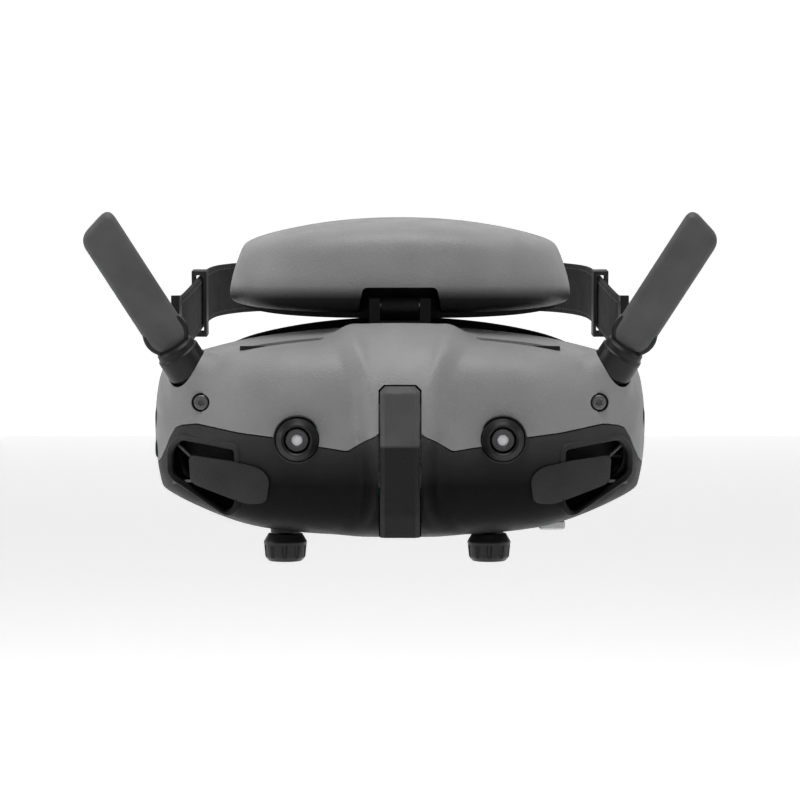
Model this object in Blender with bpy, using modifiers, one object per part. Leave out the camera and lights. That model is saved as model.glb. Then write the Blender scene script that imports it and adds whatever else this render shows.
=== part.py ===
"""FPV goggles with two blade antennas, a hinged forehead battery module and a headband.

Run with: blender --background --python part.py

Frame: the wearer looks along -Y, +Z is up and +X is the wearer's left. The origin is the point
between the eyes where the face cushion meets the nose bridge. Every size below is in millimetres;
the helpers turn them into metres where they make an object.
"""
import math

import bmesh
import bpy
import numpy as np
from mathutils import Matrix, Vector

MM = 0.001
SIDES = (("right", -1), ("left", 1))
GAP = 0.3                      # clearance between neighbouring pieces

# ---- display housing: a wrapped visor, wide at its rear rim and closed at its front
HALF_WIDTH = 85.3
REAR_RIM_Y = -20.0
BROW_DEPTH = 57.0              # rear rim to the front of the brow
RIDGE_DEPTH = 66.0             # rear rim to the front of the central ridge
PLAN_POWER = 2.6
BROW_TOP = 39.3
RIDGE_TOP = 45.8
HUMP_FRONT_Y = -60.0           # the ridge's top starts to fall here and ends its fall at HUMP_REAR_Y
HUMP_REAR_Y = -36.0
HUMP_FALL = 6.4
CHIN = 31.8
DECK_DROP = 0.04               # share of its height that the deck loses towards the front
CHIN_RAKE = 5.0
SHELL_WALL = 2.0
SEAM_POINTS = [                # height of the seam between the two front shells, by distance from centre
    (0.0, 5.6), (6.9, 5.6), (8.2, 4.0), (11.2, 2.6), (15.9, -0.4), (17.6, -1.4), (23.2, -0.4), (26.8, 0.1),
    (34.0, 1.5), (41.8, 3.1), (53.9, 4.5), (62.9, 6.2), (68.6, 7.2), (73.8, 6.5), (76.2, 5.6), (78.4, 2.1),
    (80.1, -1.5), (82.5, -5.5), (84.6, -7.5), (85.3, -7.5),
]

# ---- parts on the front
TOP_VENT_X = 40.2
CAMERA_X = 34.2
CAMERA_Z = 2.7
CAMERA_HOLE_R = 7.6
WINDOW_HALF = 6.6
WINDOW_TOP = 20.7
WINDOW_FOOT = -30.6
SCREW_X = 67.0
SCREW_Z = 14.5
SCREW_HEAD_R = 2.6

# ---- eyepieces
HALF_IPD = 35.0                # the eyepieces rest 70 mm apart, near their widest setting
IPD_TRAVEL = 6.0
BARREL_R = 18.0
RAIL_Y = -42.0
RAIL_Z = 21.4
RAIL_R = 1.5
KNOB_OFFSET_X = -4.4           # both knobs stand on the same side of their eyepiece
STEM_TOP = -24.4
KNOB_TOP = -31.3
KNOB_FOOT = -40.9
KNOB_R = 7.5
KNOB_SLOT_R = 6.6

# ---- antennas
SOCKET = Vector((74.3, -55.0, 29.6))
ANTENNA_TILT_OUT = math.radians(31.5)
ANTENNA_TILT_FORWARD = math.radians(18.0)
ANTENNA_HALF_WIDTH = 7.1
ANTENNA_PIVOT = 10.0           # along the antenna, from the centre of its socket
ANTENNA_TIP = 57.5
ANTENNA_THICK = 5.6

# ---- forehead module
HINGE_Y = -36.0
HINGE_Z = 47.0
MODULE_HALF_WIDTH = 60.8
MODULE_DEPTH = 52.0
MODULE_SIDE_Y = 6.2
MODULE_MID_Z = 60.0
MODULE_TOP = 77.5
MODULE_FOOT = 44.0

# ---- headband
BAND_HALF = 10.0
BAND_THICK = 2.0
BAND_START = Vector((78.8, -7.4, 38.5))
BAND_STRAIGHT = [Vector((77.0, 12.0, 41.0)), Vector((75.0, 96.0, 48.5))]
SLIDER_PLACE = 0.7             # share of the straight run from its front end
SLIDER_LENGTH = 9.0

# ---- buttons: (y, z) of each, by side
BUTTON_R = 3.4
BUTTON_FACE_X = 83.6
BUTTON_PLACES = {-1: [(-33.0, 8.0), (-33.0, -2.5)], 1: [(-33.0, 8.0)]}


# ------------------------------------------------------------------ helpers
def clear_scene():
    for old in list(bpy.data.objects):
        bpy.data.objects.remove(old)


def collection(name, parent=None):
    made = bpy.data.collections.new(name)
    (parent or bpy.context.scene.collection).children.link(made)
    return made


def material(name, color, roughness, metallic=0.0):
    made = bpy.data.materials.new(name)
    made.use_nodes = True
    shader = made.node_tree.nodes["Principled BSDF"]
    shader.inputs["Base Color"].default_value = (*color, 1.0)
    shader.inputs["Roughness"].default_value = roughness
    shader.inputs["Metallic"].default_value = metallic
    return made


def metres(point):
    return Vector(point) * MM


def adopt(obj, name, look):
    """Names an object, gives it its material and puts it in the goggles' collection."""
    obj.name = name
    obj.data.name = name
    obj.data.materials.clear()
    obj.data.materials.append(look)
    for home in list(obj.users_collection):
        home.objects.unlink(obj)
    PARTS.objects.link(obj)
    return obj


def as_cutter(obj, name):
    obj.name = name
    for home in list(obj.users_collection):
        home.objects.unlink(obj)
    CUTTERS.objects.link(obj)
    obj.hide_render = True
    obj.display_type = "WIRE"
    return obj


def turn_to(axis, across=None):
    """A rotation whose local Z is axis and whose local X is nearest to across."""
    z = Vector(axis).normalized()
    x = Vector(across) if across else (Vector((1, 0, 0)) if abs(z.x) < 0.9 else Vector((0, 1, 0)))
    x = (x - x.dot(z) * z).normalized()
    return Matrix((x, z.cross(x), z)).transposed().to_4x4()


def box(low, high, bevel=0.0):
    low, high = metres(low), metres(high)
    bpy.ops.mesh.primitive_cube_add(size=1, location=(low + high) / 2)
    obj = bpy.context.object
    obj.data.transform(Matrix.Diagonal((*(high - low), 1.0)))
    if bevel:
        edge = obj.modifiers.new("edges", "BEVEL")
        edge.width = bevel * MM
        edge.segments = 1
    return obj


def cylinder(centre, axis, radius, length, sides=24, radius_end=None):
    """A cylinder, or a cone frustum that ends at radius_end on the axis's side."""
    bpy.ops.mesh.primitive_cone_add(
        vertices=sides, radius1=radius * MM, depth=length * MM,
        radius2=(radius if radius_end is None else radius_end) * MM, location=(0, 0, 0))
    obj = bpy.context.object
    obj.matrix_world = Matrix.Translation(metres(centre)) @ turn_to(axis)
    return obj


def turned(profile, centre, axis, sides=24):
    """A solid of revolution: profile is (radius, height) from the top of the outer side downwards."""
    mesh = bpy.data.meshes.new("turned")
    looped = profile[0] == profile[-1]
    points = profile[:-1] if looped else profile
    edges = [(i, i + 1) for i in range(len(points) - 1)] + ([(len(points) - 1, 0)] if looped else [])
    mesh.from_pydata([(r * MM, 0, h * MM) for r, h in points], edges, [])
    obj = bpy.data.objects.new("turned", mesh)
    bpy.context.scene.collection.objects.link(obj)
    screw = obj.modifiers.new("turn", "SCREW")
    screw.steps = sides
    screw.render_steps = sides
    screw.use_merge_vertices = True
    screw.merge_threshold = 0.00001
    obj.matrix_world = Matrix.Translation(metres(centre)) @ turn_to(axis)
    return obj


def slab(outlines, thickness, matrix, bevel=0.0):
    """A flat plate of one outer outline and any holes, centred on the matrix's XY plane."""
    curve = bpy.data.curves.new("slab", "CURVE")
    curve.dimensions = "2D"
    curve.fill_mode = "BOTH"
    curve.extrude = thickness * MM / 2
    for outline in outlines:
        spline = curve.splines.new("POLY")
        spline.points.add(len(outline) - 1)
        for point, (x, y) in zip(spline.points, outline):
            point.co = (x * MM, y * MM, 0, 1)
        spline.use_cyclic_u = True
    obj = bpy.data.objects.new("slab", curve)
    bpy.context.scene.collection.objects.link(obj)
    obj.matrix_world = matrix
    solid = solid_mesh(obj)
    if bevel:
        edge = solid.modifiers.new("edges", "BEVEL")
        edge.width = bevel * MM
        edge.segments = 1
    return solid


def solid_mesh(curve_object):
    """Turns a curve object into a welded mesh object at the same place."""
    bpy.context.view_layer.update()
    graph = bpy.context.evaluated_depsgraph_get()
    mesh = bpy.data.meshes.new_from_object(curve_object.evaluated_get(graph))
    work = bmesh.new()
    work.from_mesh(mesh)
    bmesh.ops.remove_doubles(work, verts=work.verts, dist=0.000001)
    bmesh.ops.recalc_face_normals(work, faces=work.faces)
    work.to_mesh(mesh)
    work.free()
    obj = bpy.data.objects.new(curve_object.name, mesh)
    bpy.context.scene.collection.objects.link(obj)
    obj.matrix_world = curve_object.matrix_world.copy()
    bpy.data.objects.remove(curve_object)
    return obj


def walled(strips, wall):
    """A closed wall: an outer surface whose points carry their normals, its inner copy, and a rim."""
    rows, columns = strips.shape[:2]
    points = strips[:, :, :3]
    normals = strips[:, :, 3:] / np.linalg.norm(strips[:, :, 3:], axis=2, keepdims=True)
    inside = points - wall * normals
    size = rows * columns
    faces = []
    for i in range(rows - 1):
        for j in range(columns - 1):
            ring = [i * columns + j, (i + 1) * columns + j, (i + 1) * columns + j + 1, i * columns + j + 1]
            faces.append(ring)
            faces.append([size + k for k in reversed(ring)])
    rim = [(0, j) for j in range(columns)] + [(i, columns - 1) for i in range(1, rows)]
    rim += [(rows - 1, j) for j in range(columns - 2, -1, -1)] + [(i, 0) for i in range(rows - 2, 0, -1)]
    order = [i * columns + j for i, j in rim]
    for a, b in zip(order, [*order[1:], order[0]]):
        faces.append([a, b, size + b, size + a])
    mesh = bpy.data.meshes.new("shell")
    both = np.concatenate([points.reshape(-1, 3), inside.reshape(-1, 3)])
    mesh.from_pydata((both * MM).tolist(), [], faces)
    work = bmesh.new()
    work.from_mesh(mesh)
    bmesh.ops.triangulate(work, faces=work.faces)
    bmesh.ops.recalc_face_normals(work, faces=work.faces)
    work.to_mesh(mesh)
    work.free()
    obj = bpy.data.objects.new("shell", mesh)
    bpy.context.scene.collection.objects.link(obj)
    return obj


def cut(obj, *cutters):
    for cutter in cutters:
        step = obj.modifiers.new("cut_" + cutter.name, "BOOLEAN")
        step.operation = "DIFFERENCE"
        step.object = cutter
    return obj


def join(obj, *others):
    for number, other in enumerate(others):
        step = obj.modifiers.new(f"join_{number}", "BOOLEAN")
        step.operation = "UNION"
        step.object = as_cutter(other, f"{obj.name}_join_{number}")
    return obj


def round_outline(corners, radius, steps=4):
    """The corners of a polygon, each replaced by a short arc."""
    points = []
    for before, corner, after in zip([corners[-1], *corners[:-1]], corners, [*corners[1:], corners[0]]):
        here = Vector(corner)
        start = here + (Vector(before) - here).normalized() * radius
        end = here + (Vector(after) - here).normalized() * radius
        for i in range(steps + 1):
            t = i / steps
            points.append(tuple((1 - t) ** 2 * start + 2 * t * (1 - t) * here + t * t * end))
    return points


def stadium(centre_x, centre_y, half_length, radius, steps=10):
    """A slot's outline: two half circles joined by straight sides along X."""
    points = []
    for side in (1, -1):
        for i in range(steps + 1):
            angle = math.pi * (i / steps - 0.5)
            points.append((
                centre_x + side * (half_length + radius * math.cos(angle)),
                centre_y + side * radius * math.sin(angle)))
    return points


# ------------------------------------------------------------------ the two wrapped skins
def fall(x, inner, outer):
    """1 within inner of the centre plane, 0 beyond outer, and smooth between."""
    t = np.clip((outer - np.abs(x)) / (outer - inner), 0, 1)
    return t * t * (3 - 2 * t)


def rounded_end(x, half, power):
    """1 at the centre, 0 at half, along a superellipse."""
    return np.clip(1 - np.abs(x / half) ** power, 0, 1) ** (1 / power)


def housing_section(x, count=361):
    """The housing's outer section at x, from its rear lower edge round the front to its rear upper edge."""
    angle = np.linspace(-math.pi / 2, math.pi / 2, count)
    sine, cosine = np.abs(np.sin(angle)), np.abs(np.cos(angle))
    above = angle > 0
    ridge = np.where(above, fall(x, 7 + 7 * sine ** 2, 17 + 11 * sine ** 2),
                     fall(x, 7 + 4 * sine ** 2, 14 + 12 * sine ** 2))
    plan = rounded_end(x, HALF_WIDTH, PLAN_POWER)
    depth = plan * (BROW_DEPTH + (RIDGE_DEPTH - BROW_DEPTH) * ridge)
    power = np.where(above, 6 - 3.4 * ridge, 5)
    top = BROW_TOP * (1 - 0.17 * (x / 68) ** 2) * (0.7 + 0.3 * rounded_end(x, HALF_WIDTH, 6))
    top = top + (RIDGE_TOP - BROW_TOP) * ridge
    foot = CHIN * (1 - 0.255 * abs(x / 69.7) ** 3) * (0.9 + 0.1 * rounded_end(x, HALF_WIDTH, 6))
    forward = cosine ** (2 / power)
    upward = sine ** (2 / power)
    y = REAR_RIM_Y - depth * forward
    behind = np.clip((y - HUMP_FRONT_Y) / (HUMP_REAR_Y - HUMP_FRONT_Y), 0, 1)
    top = top - HUMP_FALL * ridge * behind * behind * (3 - 2 * behind)
    z = np.where(above, top * upward * (1 - DECK_DROP * forward), -foot * upward)
    y = y + CHIN_RAKE * np.clip(-z / 30, 0, 1) * forward * plan * (1 - 0.6 * ridge)
    barrel = 0.0055 * (z - 5) ** 2 * (1 - fall(x, 45, 82))
    points = np.stack([x - math.copysign(1, x) * barrel, y, z], axis=1)
    return points + socket_swell(points)


def socket_swell(points):
    """The housing swells up round each antenna's socket."""
    out = np.zeros_like(points)
    for side in (-1, 1):
        axis = np.array(antenna_axis(side))
        centre = np.array((side * SOCKET.x, SOCKET.y, SOCKET.z))
        away = points - centre
        radial = np.linalg.norm(away - np.outer(away @ axis, axis), axis=1)
        lift = np.clip(-(away @ axis), 0, 6) * np.exp(-(radial / 9.5) ** 4)
        out += lift[:, None] * axis
    return out


def module_section(x, count=241):
    """The forehead module's outer section at x, from its rear lower edge to its rear upper edge."""
    angle = np.linspace(-math.pi / 2, math.pi / 2, count)
    sine, cosine = np.abs(np.sin(angle)), np.abs(np.cos(angle))
    plan = rounded_end(x, MODULE_HALF_WIDTH, PLAN_POWER)
    front = MODULE_SIDE_Y - MODULE_DEPTH * plan
    rim = module_rim(x)
    end = 0.55 + 0.45 * rounded_end(x, MODULE_HALF_WIDTH, 4)
    top = (MODULE_TOP - MODULE_MID_Z) * (1 - 0.3 * (x / 57) ** 2) * end
    foot = (MODULE_MID_Z - MODULE_FOOT) * (1 - 0.06 * (x / 57) ** 2) * end
    power = 3.0
    z = MODULE_MID_Z + np.where(angle > 0, top, -foot) * sine ** (2 / power)
    y = rim - (rim - front) * cosine ** (2 / power)
    return np.stack([np.full(count, float(x)), y, z], axis=1)


def module_rim(x):
    """The forehead module's rear edge follows the forehead."""
    return -15.2 + x * x / 170


def length_along(points):
    steps = np.linalg.norm(np.diff(points, axis=0), axis=1)
    return np.concatenate([[0], np.cumsum(steps)])


def with_normals(section, x, half):
    """A section's points, each followed by the surface's outward normal there."""
    points = section(x)
    across = section(min(x + 0.3, half - 0.01)) - section(max(x - 0.3, 0.01 - half))
    return np.hstack([points, np.cross(across, np.gradient(points, axis=0))])


def resample(points, count):
    """The same line as count points spaced evenly along it."""
    along = length_along(points[:, :3])
    wanted = np.linspace(0, along[-1], count)
    return np.stack([np.interp(wanted, along, points[:, k]) for k in range(points.shape[1])], axis=1)


def stations(half, power, depth, count):
    """Values of x spaced evenly along a plan curve, from one side to the other."""
    turn = np.linspace(-math.pi / 2, math.pi / 2, 2001)
    x = half * np.sin(turn)
    curve = np.stack([x, depth * rounded_end(x, half, power)], axis=1)
    return resample(curve, count)[:, 0]


def seam_height(x):
    return float(np.interp(abs(x), *zip(*SEAM_POINTS)))


def split_section(x, above, gap):
    """The part of the housing's section above or below the seam."""
    points = with_normals(housing_section, x, HALF_WIDTH)
    front = len(points) // 2
    height = seam_height(x) + (gap if above else -gap)
    order = points[:, 2]
    found = int(np.searchsorted(order[front - 170:front + 170], height)) + front - 170
    share = (height - order[found - 1]) / (order[found] - order[found - 1])
    edge = points[found - 1] + share * (points[found] - points[found - 1])
    return np.vstack([edge[None], points[found:]]) if above else np.vstack([points[:found], edge[None]])


def front_y(x, z):
    """The housing's outer surface at (x, z), seen from the front."""
    points = housing_section(x)
    points = points[30:-30]
    return float(np.interp(z, points[:, 2], points[:, 1]))


def antenna_axis(side):
    flat = math.cos(ANTENNA_TILT_FORWARD)
    return Vector((side * math.sin(ANTENNA_TILT_OUT) * flat, -math.sin(ANTENNA_TILT_FORWARD),
                   math.cos(ANTENNA_TILT_OUT) * flat))


def antenna_face(side):
    """The direction that an antenna's flat face looks in."""
    axis = antenna_axis(side)
    forward = Vector((0, -1, 0))
    return (forward - forward.dot(axis) * axis).normalized()


def antenna_point(side, along, outward=0.0, forward=0.0):
    axis = antenna_axis(side)
    face = antenna_face(side)
    across = axis.cross(face).normalized() * (1 if axis.cross(face).x * side > 0 else -1)
    return Vector((side * SOCKET.x, SOCKET.y, SOCKET.z)) + along * axis + outward * across + forward * face


# ------------------------------------------------------------------ front shells
def housing_cutters():
    """Cutters shared by the two front shells."""
    found = []
    for name, side in SIDES:
        found.append(as_cutter(cylinder(
            (side * CAMERA_X, -72, CAMERA_Z), (0, 1, 0), CAMERA_HOLE_R, 24), f"cut_camera_{name}"))
    found.append(as_cutter(box(
        (-WINDOW_HALF - GAP, -98, WINDOW_FOOT - 10), (WINDOW_HALF + GAP, -62, WINDOW_TOP + GAP)),
        "cut_window"))
    return found


def vent_frame(side):
    """A plane across the vent at the housing's lower corner, with its X along the wall and its Y up."""
    along = Vector((side, 0.52, 0)).normalized()
    up = Vector((0, 0, 1))
    normal = along.cross(up) * (1 if side > 0 else -1)
    centre = Vector((side * 63.0, -66.0, -13.0))
    columns = [along * side, up, (along * side).cross(up)]
    matrix = Matrix(columns).transposed().to_4x4()
    matrix.translation = metres(centre)
    return matrix, normal


def mirrored(points, side):
    ordered = [(side * x, y) for x, y in points]
    return ordered if side > 0 else ordered[::-1]


VENT_OPENING = round_outline(
    [(54.4, -0.2), (74.4, 2.8), (78.4, -2.0), (78.4, -10.6), (57.8, -23.6), (54.4, -20.0)], 2.4)
VENT_PANEL = round_outline([(-21.6, 5.6), (9.7, 9.9), (9.7, 1.0), (-6.5, -5.3), (-21.6, -7.4)], 2.4)


def make_front_shells(looks):
    across = stations(HALF_WIDTH, PLAN_POWER, BROW_DEPTH, 39)
    shared = housing_cutters()
    for name, above, rows, look in (
            ("front_upper_shell", True, 14, looks["grey"]), ("front_lower_shell", False, 12, looks["black"])):
        strips = np.array([resample(split_section(x, above, GAP / 2), rows) for x in across])
        shell = adopt(walled(strips, SHELL_WALL), name, look)
        cut(shell, *shared)
    upper = bpy.data.objects["front_upper_shell"]
    lower = bpy.data.objects["front_lower_shell"]
    for name, side in SIDES:
        cut(upper, as_cutter(cylinder(
            antenna_point(side, 0), antenna_axis(side), 7.75, 20), f"cut_socket_{name}"))
        cut(upper, as_cutter(cylinder(
            (side * SCREW_X, front_y(side * SCREW_X, SCREW_Z), SCREW_Z), (0, 1, 0), SCREW_HEAD_R + GAP, 14),
            f"cut_screw_{name}"))
        cut(upper, as_cutter(box(
            (side * TOP_VENT_X - 14.5, -54, 24), (side * TOP_VENT_X + 14.5, -49, 44)),
            f"cut_top_vent_{name}"))
        upright = Matrix.Translation(metres((0, -59, 0))) @ Matrix.Rotation(math.pi / 2, 4, "X")
        cut(lower, as_cutter(slab([mirrored(VENT_OPENING, side)], 30, upright), f"cut_vent_{name}"))
        knob_x = side * HALF_IPD + KNOB_OFFSET_X
        slot = stadium(knob_x - side * IPD_TRAVEL / 2, -RAIL_Y, IPD_TRAVEL / 2, KNOB_SLOT_R, 6)
        flat = Matrix.Translation(metres((0, 0, CHIN * -0.95))) @ Matrix.Rotation(math.pi, 4, "X")
        cut(lower, as_cutter(slab([slot], 14, flat), f"cut_knob_{name}"))
    cut(lower, as_cutter(box((47.5, -38.3, -34), (57.5, -34.5, -24)), "cut_usb"))
    cut(upper, as_cutter(box((-11.4, HINGE_Y - 3.4, 32), (11.4, HINGE_Y + 3.4, 50)), "cut_hinge"))
    for side in (-1, 1):
        for y, z in BUTTON_PLACES[side]:
            cut(upper, as_cutter(cylinder(
                (side * 82, y, z), (1, 0, 0), BUTTON_R + GAP, 14, 16), f"cut_button_{side}_{z:.0f}"))


def make_front_details(looks):
    for name, side in SIDES:
        centre = (side * CAMERA_X, -74.5, CAMERA_Z)
        bezel = turned([(5.2, 7.0), (7.2, 4.6), (7.2, -6), (3.4, -6), (3.4, 3.4), (4.4, 5.0), (5.2, 7.0)],
                       centre, (0, -1, 0), 28)
        adopt(bezel, f"{name}_camera_bezel", looks["black"])
        lens = turned([(0, 4.4), (2.2, 4.0), (3.1, 2.8), (3.1, -5), (0, -5)], centre, (0, -1, 0), 20)
        adopt(lens, f"{name}_camera_lens", looks["glass"])
        y = front_y(side * SCREW_X, SCREW_Z)
        head = [(0, -0.6), (0.9, -0.6), (0.9, 0.6), (2.1, 0.6), (SCREW_HEAD_R, 0.1), (SCREW_HEAD_R, -1.4)]
        shank = [(1.2, -1.4), (1.2, -8), (0, -8)]
        screw = turned([*head, *shank], (side * SCREW_X, y, SCREW_Z), (0, -1, 0), 18)
        adopt(screw, f"{name}_shell_screw", looks["steel"])
        matrix, normal = vent_frame(side)
        plate = matrix.copy()
        plate.translation = matrix.translation + metres(normal * 1.0)
        adopt(slab([mirrored(VENT_PANEL, side)], 3.2, plate), f"{name}_vent_panel", looks["dark"])
        top = box((side * TOP_VENT_X - 14.1, -53.6, 31.6), (side * TOP_VENT_X + 14.1, -49.4, 33.2))
        slots = []
        for i in range(-3, 4):
            x = side * TOP_VENT_X + 3.4 * i
            slots.append(as_cutter(box((x - 1.1, -53, 28), (x + 1.1, -50, 38)), f"cut_rib_{name}_{i}"))
        cut(adopt(top, f"{name}_top_grille", looks["dark"]), *slots)
    profile = [(-79, WINDOW_TOP), (-84.6, WINDOW_TOP), (-86.8, WINDOW_TOP - 2.2), (-87.6, 1.0),
               (-85.6, -22.0), (-81.6, WINDOW_FOOT), (-79, WINDOW_FOOT)]
    upright = Matrix(((0, 0, 1, 0), (1, 0, 0, 0), (0, 1, 0, 0), (0, 0, 0, 1)))
    adopt(slab([profile], 2 * WINDOW_HALF, upright, 0.9), "center_window", looks["dark"])


# ------------------------------------------------------------------ rear side
def rim_outline(scale, lift=0.0, arch=0.0, count=64):
    """The rear rim's outline in X and Z, scaled, raised along its top and arched over the nose."""
    points = []
    for i in range(count):
        angle = 2 * math.pi * i / count
        x = HALF_WIDTH * math.copysign(abs(math.sin(angle)) ** 0.72, math.sin(angle))
        section = housing_section(min(abs(x), HALF_WIDTH * 0.995), 3)
        brow = BROW_TOP * (1 - 0.17 * (x / 68) ** 2)
        top = min(section[-1][2], brow * rounded_end(x, HALF_WIDTH, 9)) + lift * fall(x, 50, 84)
        foot = section[0][2] + arch * fall(x, 3, 21)
        share = abs(math.cos(angle)) ** 0.35
        z = share * (top if math.cos(angle) > 0 else foot)
        points.append((x * scale, z * scale))
    return points


def make_rear(looks):
    backward = Matrix.Rotation(math.pi / 2, 4, "X")

    def place(y):
        return Matrix.Translation(metres((0, y, 0))) @ backward

    holes = [stadium(side * (HALF_IPD - IPD_TRAVEL / 2), 0, IPD_TRAVEL / 2, BARREL_R + 1.0, 12)[::-1]
             for side in (-1, 1)]
    adopt(slab([rim_outline(0.99), *holes], 2.0, place(-18.0)), "rear_frame", looks["black"])
    adopt(slab([rim_outline(0.985, 1.0, 14.0), rim_outline(0.92, 1.0, 14.0)[::-1]], 7.6, place(-13.1)),
          "cushion_carrier", looks["black"])
    make_face_cushion(looks)
    adopt(cylinder((0, -16.4, 7.0), (0, 1, 0), 2.6, 1.2, 20), "proximity_sensor", looks["glass"])


def make_face_cushion(looks):
    """A foam ring that meets the face: deeper at the temples, arched over the nose."""
    outer = rim_outline(0.985, 3.0, 20.0, 72)
    inner = rim_outline(0.80, 3.0, 20.0, 72)
    front, back = -9.0, 0.0
    rings = []
    for outline, shift in ((outer, 0.0), (inner, -1.0)):
        rings.append([(x, front, z) for x, z in outline])
        rings.append([(x, back + shift + 14 * (x / HALF_WIDTH) ** 2, z) for x, z in outline])
    order = [rings[0], rings[1], rings[3], rings[2]]
    count = len(outer)
    vertices = [tuple(metres(p)) for ring in order for p in ring]
    faces = [(a * count + i, a * count + (i + 1) % count, b * count + (i + 1) % count, b * count + i)
             for a, b in ((0, 1), (1, 2), (2, 3), (3, 0)) for i in range(count)]
    mesh = bpy.data.meshes.new("face_cushion")
    mesh.from_pydata(vertices, [], faces)
    work = bmesh.new()
    work.from_mesh(mesh)
    bmesh.ops.recalc_face_normals(work, faces=work.faces)
    work.to_mesh(mesh)
    work.free()
    obj = bpy.data.objects.new("face_cushion", mesh)
    bpy.context.scene.collection.objects.link(obj)
    adopt(obj, "face_cushion", looks["foam"])


# ------------------------------------------------------------------ inside the housing
def make_inside(looks):
    chassis = box((-50, -60.0, -22), (50, -58.0, 22))
    adopt(chassis, "inner_chassis", looks["black"])
    blocks = []
    for side in (-1, 1):
        for z in (-RAIL_Z, RAIL_Z):
            blocks.append(box((side * 46.7 - 2.2, -58.4, z - 2.35), (side * 46.7 + 2.2, -39, z + 2.4)))
    join(chassis, *blocks)
    for label, z in (("upper", RAIL_Z), ("lower", -RAIL_Z)):
        adopt(cylinder((0, RAIL_Y, z), (1, 0, 0), RAIL_R, 97.4, 16), f"{label}_guide_rail", looks["steel"])
        bore = cylinder((0, RAIL_Y, z), (1, 0, 0), RAIL_R + 0.1, 118, 16)
        cut(chassis, as_cutter(bore, f"cut_rail_{label}"))
    adopt(box((-46, -62.4, -17), (46, -60.8, 19)), "main_board", looks["board"])
    sink = box((-15, -66.0, -14), (15, -62.8, 14))
    fins = [box((x - 0.8, -69.5, -13), (x + 0.8, -65.8, 13)) for x in (-8, -4, 0, 4, 8)]
    join(adopt(sink, "heat_sink", looks["aluminium"]), *fins)
    for name, side in SIDES[1:]:
        x, y, z = side * 67.5, -43.0, -4.0
        frame = turned([(10.2, 3), (10.2, -3), (9.0, -3), (9.0, 3), (10.2, 3)], (x, y, z), (0, -1, 0), 24)
        spider = box((x - 9.3, y + 1.6, z - 1), (x + 9.3, y + 2.8, z + 1))
        join(adopt(frame, f"{name}_fan_frame", looks["black"]), spider)
        rotor = cylinder((x, y - 0.6, z), (0, 1, 0), 3.6, 3.6, 16)
        blades = []
        for i in range(5):
            blade = box((2.8, -1.4, -0.5), (8.3, 1.4, 0.5))
            pitch = Matrix.Rotation(0.5, 4, "X")
            spin = Matrix.Rotation(2 * math.pi * i / 5, 4, "Y")
            hub = Matrix.Translation(metres((x, y - 0.6, z)))
            blade.matrix_world = hub @ spin @ Matrix.Translation(blade.location) @ pitch
            blades.append(blade)
        join(adopt(rotor, f"{name}_fan_rotor", looks["dark"]), *blades)


def make_eyepiece(name, side, looks):
    x = side * HALF_IPD
    ring = turned([(20.5, 4), (20.5, -4), (BARREL_R + 0.3, -4), (BARREL_R + 0.3, 4), (20.5, 4)],
                  (x, RAIL_Y, 0), (0, -1, 0), 32)
    ears = [box((x - 7, RAIL_Y - 3.6, 19.2), (x + 7, RAIL_Y + 3.6, RAIL_Z + 2.7)),
            box((x - 7, RAIL_Y - 3.6, -RAIL_Z - 2.7), (x + 7, RAIL_Y + 3.6, -19.2))]
    carriage = join(adopt(ring, f"{name}_carriage", looks["dark"]), *ears)
    for label, z in (("upper", RAIL_Z), ("lower", -RAIL_Z)):
        bore = cylinder((x, RAIL_Y, z), (1, 0, 0), RAIL_R + 0.12, 20, 16)
        cut(carriage, as_cutter(bore, f"cut_{name}_{label}"))
    barrel = turned([(BARREL_R, 24), (BARREL_R, -3), (16.4, -4), (15.4, -3), (15.4, 22), (13, 22), (13, 24),
                     (BARREL_R, 24)], (x, -24, 0), (0, -1, 0), 32)
    adopt(barrel, f"{name}_lens_barrel", looks["black"])
    adopt(turned([(0, 2.6), (15.0, 0.8), (15.0, -1.2), (0, -3.4)], (x, -24.6, 0), (0, -1, 0), 32),
          f"{name}_eyepiece_lens", looks["glass"])
    adopt(box((x - 12, -52.0, -12), (x + 12, -48.4, 12), 0.5), f"{name}_display", looks["glass"])
    knob_x = x + KNOB_OFFSET_X
    stem = turned([(0, STEM_TOP), (5.1, STEM_TOP), (5.1, KNOB_TOP + 0.4), (2.7, KNOB_TOP + 0.4),
                   (2.7, KNOB_FOOT + 2.8), (0, KNOB_FOOT + 2.8)],
                  (knob_x, RAIL_Y, 0), (0, 0, 1), 24)
    adopt(stem, f"{name}_knob_stem", looks["black"])
    knob = turned([(0, KNOB_FOOT + 2.4), (3.0, KNOB_FOOT + 2.4), (3.0, KNOB_TOP), (5.8, KNOB_TOP),
                   (KNOB_R, KNOB_TOP - 2.7), (7.0, KNOB_FOOT + 1.5), (5.6, KNOB_FOOT), (0, KNOB_FOOT)],
                  (knob_x, RAIL_Y, 0), (0, 0, 1), 24)
    adopt(knob, f"{name}_knob", looks["dark"])
    for i in range(12):
        turn = 2 * math.pi * (i + 0.5) / 12
        groove = box((KNOB_R - 0.95, -0.5, KNOB_FOOT - 0.5), (KNOB_R + 1.5, 0.5, KNOB_FOOT + 5.2))
        groove.matrix_world = (Matrix.Translation(metres((knob_x, RAIL_Y, 0))) @ Matrix.Rotation(turn, 4, "Z")
                               @ Matrix.Translation(groove.location))
        cut(knob, as_cutter(groove, f"cut_groove_{name}_{i}"))


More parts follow.
